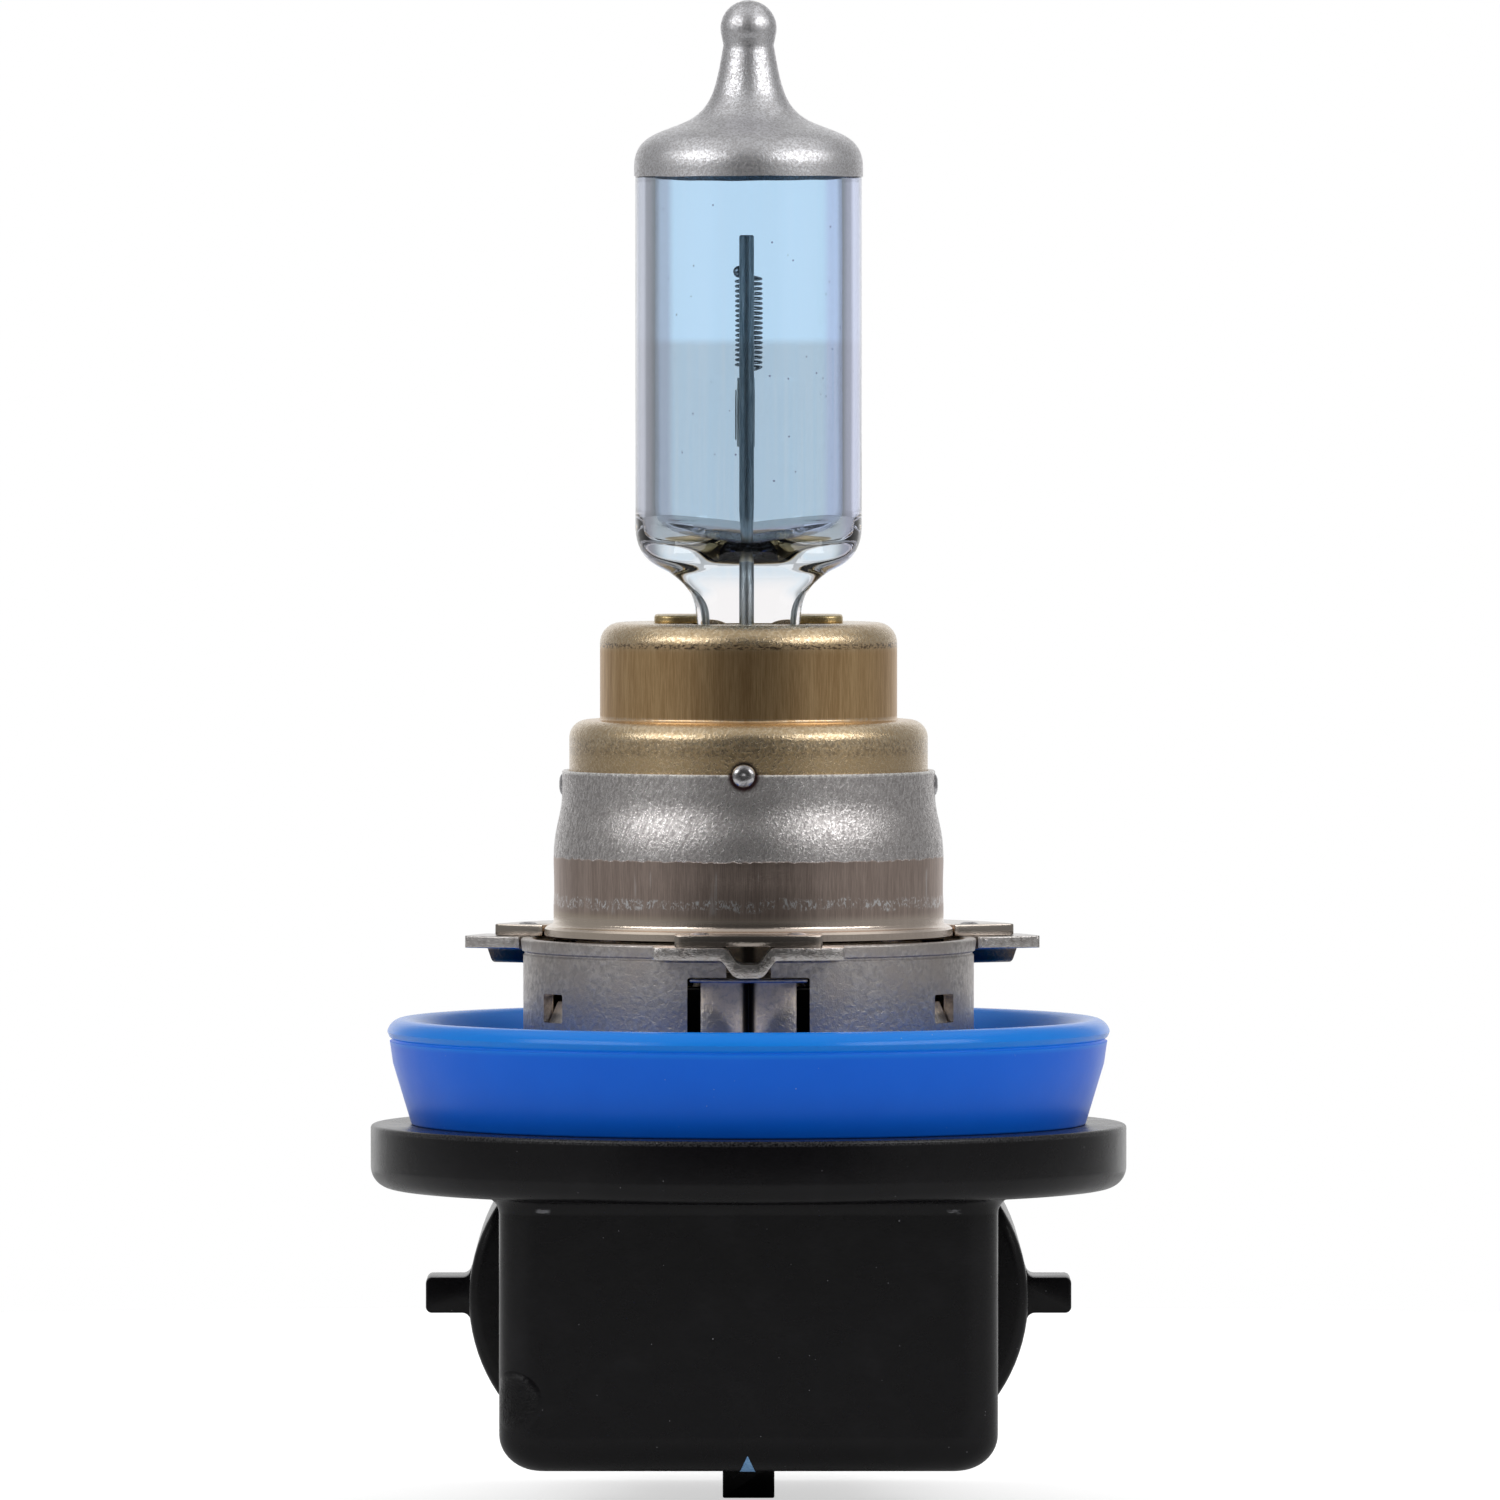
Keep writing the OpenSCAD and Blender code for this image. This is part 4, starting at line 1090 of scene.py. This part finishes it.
def flange_welds():
    """Shallow weld spots on the collar's lugs, two to a lug."""
    z = low("flange_weld_spots").z
    spots = []
    profile = [(0, z), (0.41, z), (0.36, z + 0.05), (0.22, z + 0.09), (0.1, z + 0.075), (0, z + 0.07)]
    for angle in LUG_ANGLES:
        for x in (-2, 2):
            spots.append(turned(lathe("spot", profile, closed=False, segments=32, about=(x, -9.5)), angle))
    return joined("flange_weld_spots_detail", spots)


# ---- plastic base and seal ----

def lip_seal():
    """Silicone ring: a tapered skirt, a rolled band at the lip, and an open dish round the drum."""
    r, inner, foot = SEAL_R, SEAL_SEAT[0] + 0.012, FLANGE_TOP
    profile = ([(inner, foot), (13.86, foot)] + arc(13.96, foot + 0.12, 0.12, -90, -10, 4)
               + [(r - 0.26, -4.7), (r - 0.14, -3.86)] + arc(r - 0.16, -3.72, 0.07, -60, -250, 5)
               + [(r - 0.1, -3.58)] + arc(r - 0.66, -3.5, 0.65, 10, 105, 14)
               + bezier((r - 1.0, -2.93), (r - 1.9, -3.4), (12.4, -5.65), (11.2, -5.78), 24)
               + arc(10.35, -5.5, 0.29, -90, -180, 6) + [(9.98, -5.3)]
               + arc(9.76, -5.32, 0.2, 0, 90, 5) + [(inner, SEAL_SEAT[1] - 0.05)])
    return lathe("blue_lip_seal", profile, segments=256)


def flange_and_boss():
    """The round flange with its rounded edge, and the boss inside the metal base."""
    r = 0.9
    profile = ([(0, FLANGE_TOP + 0.2), (5.9, FLANGE_TOP + 0.2), (6.5, -1.45)]
               + arc(7.5, -1.45, 0.2, 90, 0, 4) + [(7.7, FLANGE_TOP)]
               + arc(FLANGE_R - 0.15, FLANGE_TOP - 0.15, 0.15, 90, 0, 5)
               + arc(FLANGE_R - r, FLANGE_BOTTOM + r, r, 0, -90, 12) + [(0, FLANGE_BOTTOM)])
    return lathe("black_housing", profile, closed=False, segments=256)


def back_ring(grow_x, grow_front, corner, z):
    """The closed back's plan at one height: flat at the rear, rounded at its two front corners."""
    half = BACK_HALF_W + grow_x
    front = -BACK_REACH - grow_front
    corner = max(corner, 0.05)
    ring = [(half, BACK_END, z), (-half, BACK_END, z)]
    ring += [(px, py, z) for px, py in arc(-half + corner, front + corner, corner, 180, 270, 14)]
    ring += [(px, py, z) for px, py in arc(half - corner, front + corner, corner, 270, 360, 14)]
    return ring


def closed_back():
    """The box behind the connector, flowing into the flange above and rounded below."""
    corner, cove = 1.7, 0.72
    rings = [back_ring(cove, cove, corner + cove, FLANGE_BOTTOM + 0.4)]
    for grow, z in arc(cove, FLANGE_BOTTOM - cove, cove, 90, 180, 10):
        rings.append(back_ring(grow, grow, corner + grow, z))
    side_r, front_r, steps = 1.68, 1.3, 14
    for i in range(steps + 1):
        a = math.radians(90 * i / steps)
        dx, dy = side_r * (1 - math.cos(a)), front_r * (1 - math.cos(a))
        z = BACK_BOTTOM + 1.5 - 1.5 * math.sin(a)
        rings.append(back_ring(-dx, -dy, corner - dx * 0.8, z))
    return loft("closed_back", rings)


def shroud_ring(inset, y, per_end=48):
    """The oval shroud's outline at one distance from the axis, drawn in by inset."""
    r = SHROUD_H / 2 - inset
    reach = (SHROUD_W - SHROUD_H) / 2
    ring = [(px, y, pz) for px, pz in arc(reach, SHROUD_Z, r, -90, 90, per_end)]
    return ring + [(px, y, pz) for px, pz in arc(-reach, SHROUD_Z, r, 90, 270, per_end)]


def shroud():
    """The oval connector shroud, closed at the back, with a rounded mouth and a floor to its socket."""
    edge, wall = 0.5, SHROUD_WALL
    path = ([(edge + 0.8, SHROUD_ROOT)]
            + [(edge - o, SHROUD_ROOT + edge - d) for o, d in arc(0, 0, edge, 90, 0, 6)]
            + [(0.0, MOUTH - 0.4)] + [(0.4 - o, MOUTH - 0.4 + d) for o, d in arc(0, 0, 0.4, 0, 90, 6)]
            + [(wall - 0.3 + o, MOUTH - 0.3 + d) for o, d in arc(0, 0, 0.3, 90, 0, 6)]
            + [(wall, SOCKET_FLOOR + 0.4)]
            + [(wall + 0.4 - o, SOCKET_FLOOR + 0.4 - d) for o, d in arc(0, 0, 0.4, 0, 90, 5)])
    return loft("shroud", [shroud_ring(inset, y) for inset, y in path])


def side_key(side):
    """A key on the shroud's side, rounded at its edges and filleted into the shroud."""
    root, half, f, r = SHROUD_W / 2 - 0.03, KEY_T / 2, 0.35, 0.25
    outline = ([(root - 1, -half - f)] + arc(root + f, -half - f, f, 180, 90, 8)
               + arc(KEY_REACH - r, -half + r, r, -90, 0, 8) + arc(KEY_REACH - r, half - r, r, 0, 90, 8)
               + arc(root + f, half + f, f, 270, 180, 8) + [(root - 1, half + f)])
    key = prism("side_key", [(side * x, SHROUD_Z + z) for x, z in outline], *KEY_SPAN)
    return round_edges(key, 0.12, 60)


def bottom_key():
    half, top = BOTTOM_KEY_W / 2, SHROUD_Z - SHROUD_H / 2 + 0.6
    outline = rounded(rectangle(-half, KEY_BOTTOM, half, top), [0.08, 0.08, 0, 0], 3)
    return round_edges(prism("bottom_key", outline, *KEY_SPAN), 0.1, 60)


def base_housing():
    """One moulding: flange and boss, closed back, connector shroud and its three keys."""
    others = [closed_back(), shroud(), side_key(1), side_key(-1), bottom_key()]
    return combine(flange_and_boss(), "UNION", others)


def terminal(name, node):
    """A flat blade with a chamfered nose, and the riser that meets its lead."""
    a, b = low(node), high(node)
    half, riser = 1.4, a.y + 2.8
    corners = [(a.y, b.z), (riser, b.z), (riser, SHROUD_Z + half), (b.y, SHROUD_Z + half),
               (b.y, SHROUD_Z - half), (a.y, SHROUD_Z - half)]
    outline = rounded(corners, [0.1, 0.1, 0.3, 0.75, 0.75, 0.3], 3)
    return round_edges(prism(name, outline, a.x, b.x, "x"), 0.12, 50, 3)


def index_mark():
    """A thin painted triangle that follows the rounded lower front edge of the closed back."""
    lift = 0.02
    rows = []
    top, steps = 0.68, 12
    for i in range(steps + 1):
        share = i / steps
        height = top * share
        a = math.asin(min(1.0, (1.5 - height) / 1.5))
        y = -BACK_REACH + 1.3 * (1 - math.cos(a)) - lift * math.cos(a)
        z = BACK_BOTTOM + height - lift * math.sin(a)
        half = 0.31 * (1 - share) + 0.015
        rows.append([(-0.04 - half, y, z), (-0.04 + half, y, z), (-0.04 + half, y + 0.03, z + 0.015),
                     (-0.04 - half, y + 0.03, z + 0.015)])
    return loft("painted_index_mark", rows)


# ---- pieces ----

wire = molybdenum()
tungsten = drawn_wire("tungsten", (0.16, 0.17, 0.19), (0.36, 0.38, 0.40), 22)
nickel = drawn_wire("lead_wire", (0.44, 0.43, 0.41), (0.66, 0.65, 0.62))
welds = weld_metal()
tin = tinned_copper()

for piece, cad_node, look in (
        (glass_envelope(), "glass_envelope", tinted_glass()),
        (silver_tip(), "silver_tip_coat", silver_coating()),
        (filament(), "filament_coil", tungsten),
        (weld_bead(), "filament_weld_bead", tungsten),
        (filament_clip(), "filament_clip", wire),
        (post("long_post", -POST_Y, "long_support_wire"), "long_support_wire", wire),
        (post("short_post", POST_Y, "short_support_wire"), "short_support_wire", wire),
        (pinch_foil("front_foil", "front_pinch_foil"), "front_pinch_foil", wire),
        (pinch_foil("rear_foil", "rear_pinch_foil"), "rear_pinch_foil", wire),
        (outer_lead("front_lead", "front_outer_lead", -1), "front_outer_lead", nickel),
        (outer_lead("rear_lead", "rear_outer_lead", 1), "rear_outer_lead", nickel),
        (bronze_drum(), "burner_holder_cap", bronze_cap()),
        (clamp(), "pinch_clamp", clamp_spring()),
        (focus_collar(), "focus_collar", collar_steel()),
        (collar_welds(), "collar_weld_spots", welds),
        (bayonet_drum(), "bayonet_ring", ring_steel()),
        (flange_welds(), "flange_weld_spots", welds),
        (lip_seal(), "lip_seal", blue_silicone()),
        (base_housing(), "base_housing", black_plastic()),
        (terminal("left_blade", "left_terminal"), "left_terminal", tin),
        (terminal("right_blade", "right_terminal"), "right_terminal", tin),
        (index_mark(), "index_mark", blue_paint())):
    finish_piece(piece, cad_node, look)


# ---- floor, light and camera ----

def add_floor():
    """A round table top just below the lowest key."""
    rim = [(x, y, KEY_BOTTOM - 0.02) for x, y in arc(0, 0, 150, 0, 360, 120)[:-1]]
    floor = mesh_object("floor", rim, [tuple(range(len(rim)))])
    floor.data.materials.append(pale_floor().material)


def aim(obj, place, target):
    """Puts a light or a camera at a place and turns it to a target, both in millimetres."""
    obj.location = place * MM
    obj.rotation_euler = (target - place).to_track_quat("-Z", "Y").to_euler()


def add_softbox(name, azimuth, elevation, size, radiance, distance=520):
    """An area light aimed at the burner. The azimuth is from -Y towards +X, in degrees."""
    around, up = math.radians(azimuth), math.radians(elevation)
    towards = Vector((0, 0, 14))
    level = math.cos(up)
    direction = Vector((math.sin(around) * level, -math.cos(around) * level, math.sin(up)))
    place = towards + distance * direction
    data = bpy.data.lights.new(name, "AREA")
    data.shape = "RECTANGLE"
    data.size, data.size_y = size[0] * MM, size[1] * MM
    data.energy = radiance * math.pi * data.size * data.size_y
    aim(new_object(name, data), place, towards)


ROOM = ((-1.0, 0.05), (-0.88, 0.07), (-0.68, 0.30), (0.60, 0.30), (0.84, 0.5), (0.93, 1.0))


def add_world():
    """A room with a white wall behind the bulb and a white ceiling, and dark in front.

    ROOM holds the wall's brightness by how far a direction points along Y.
    """
    world = bpy.data.worlds.new("studio")
    bpy.context.scene.world = world
    g = Graph(world)
    x, y, z = g.add("SeparateXYZ", {0: g.add("TexCoord").outputs["Generated"]}).outputs
    wall = None
    for (y0, v0), (y1, v1) in zip(ROOM, ROOM[1:]):
        if wall:
            wall = g.math("ADD", wall, g.fit(y, y0, y1, 0.0, v1 - v0))
        else:
            wall = g.fit(y, y0, y1, v0, v1)
    strips = g.fit(g.math("ABSOLUTE", x), 0.1, 0.55, 0.5, 1.05)
    ceiling = g.times(g.fit(z, 0.5, 0.85, 0.0, 0.9), strips)
    seen = g.add("LightPath").outputs["Is Camera Ray"]
    strength = g.out("Mix", {0: seen, 2: g.most(wall, ceiling), 3: 1.0}, data_type="FLOAT")
    background = g.tree.nodes["Background"]
    g.put(strength, background.inputs["Strength"])
    g.put((1, 1, 1), background.inputs["Color"])


def add_camera():
    """The photograph's view: far away, level with the filament's foot, and tipped slightly down."""
    data = bpy.data.cameras.new("camera")
    place, target, frame_width = Vector((0.06, -785, 29.2)), Vector((0.06, 0, 8.33)), 62.5
    data.sensor_width = 36
    data.lens = data.sensor_width * (target - place).length / frame_width
    data.clip_start, data.clip_end = 0.05, 20
    camera = new_object("camera", data)
    aim(camera, place, target)
    bpy.context.scene.camera = camera


add_floor()
add_softbox("left_softbox", -57, 28, (400, 150), 3.4)
add_softbox("right_softbox", 57, 28, (400, 150), 3.9)
add_world()
add_camera()
bpy.context.scene.view_settings.view_transform = "Standard"
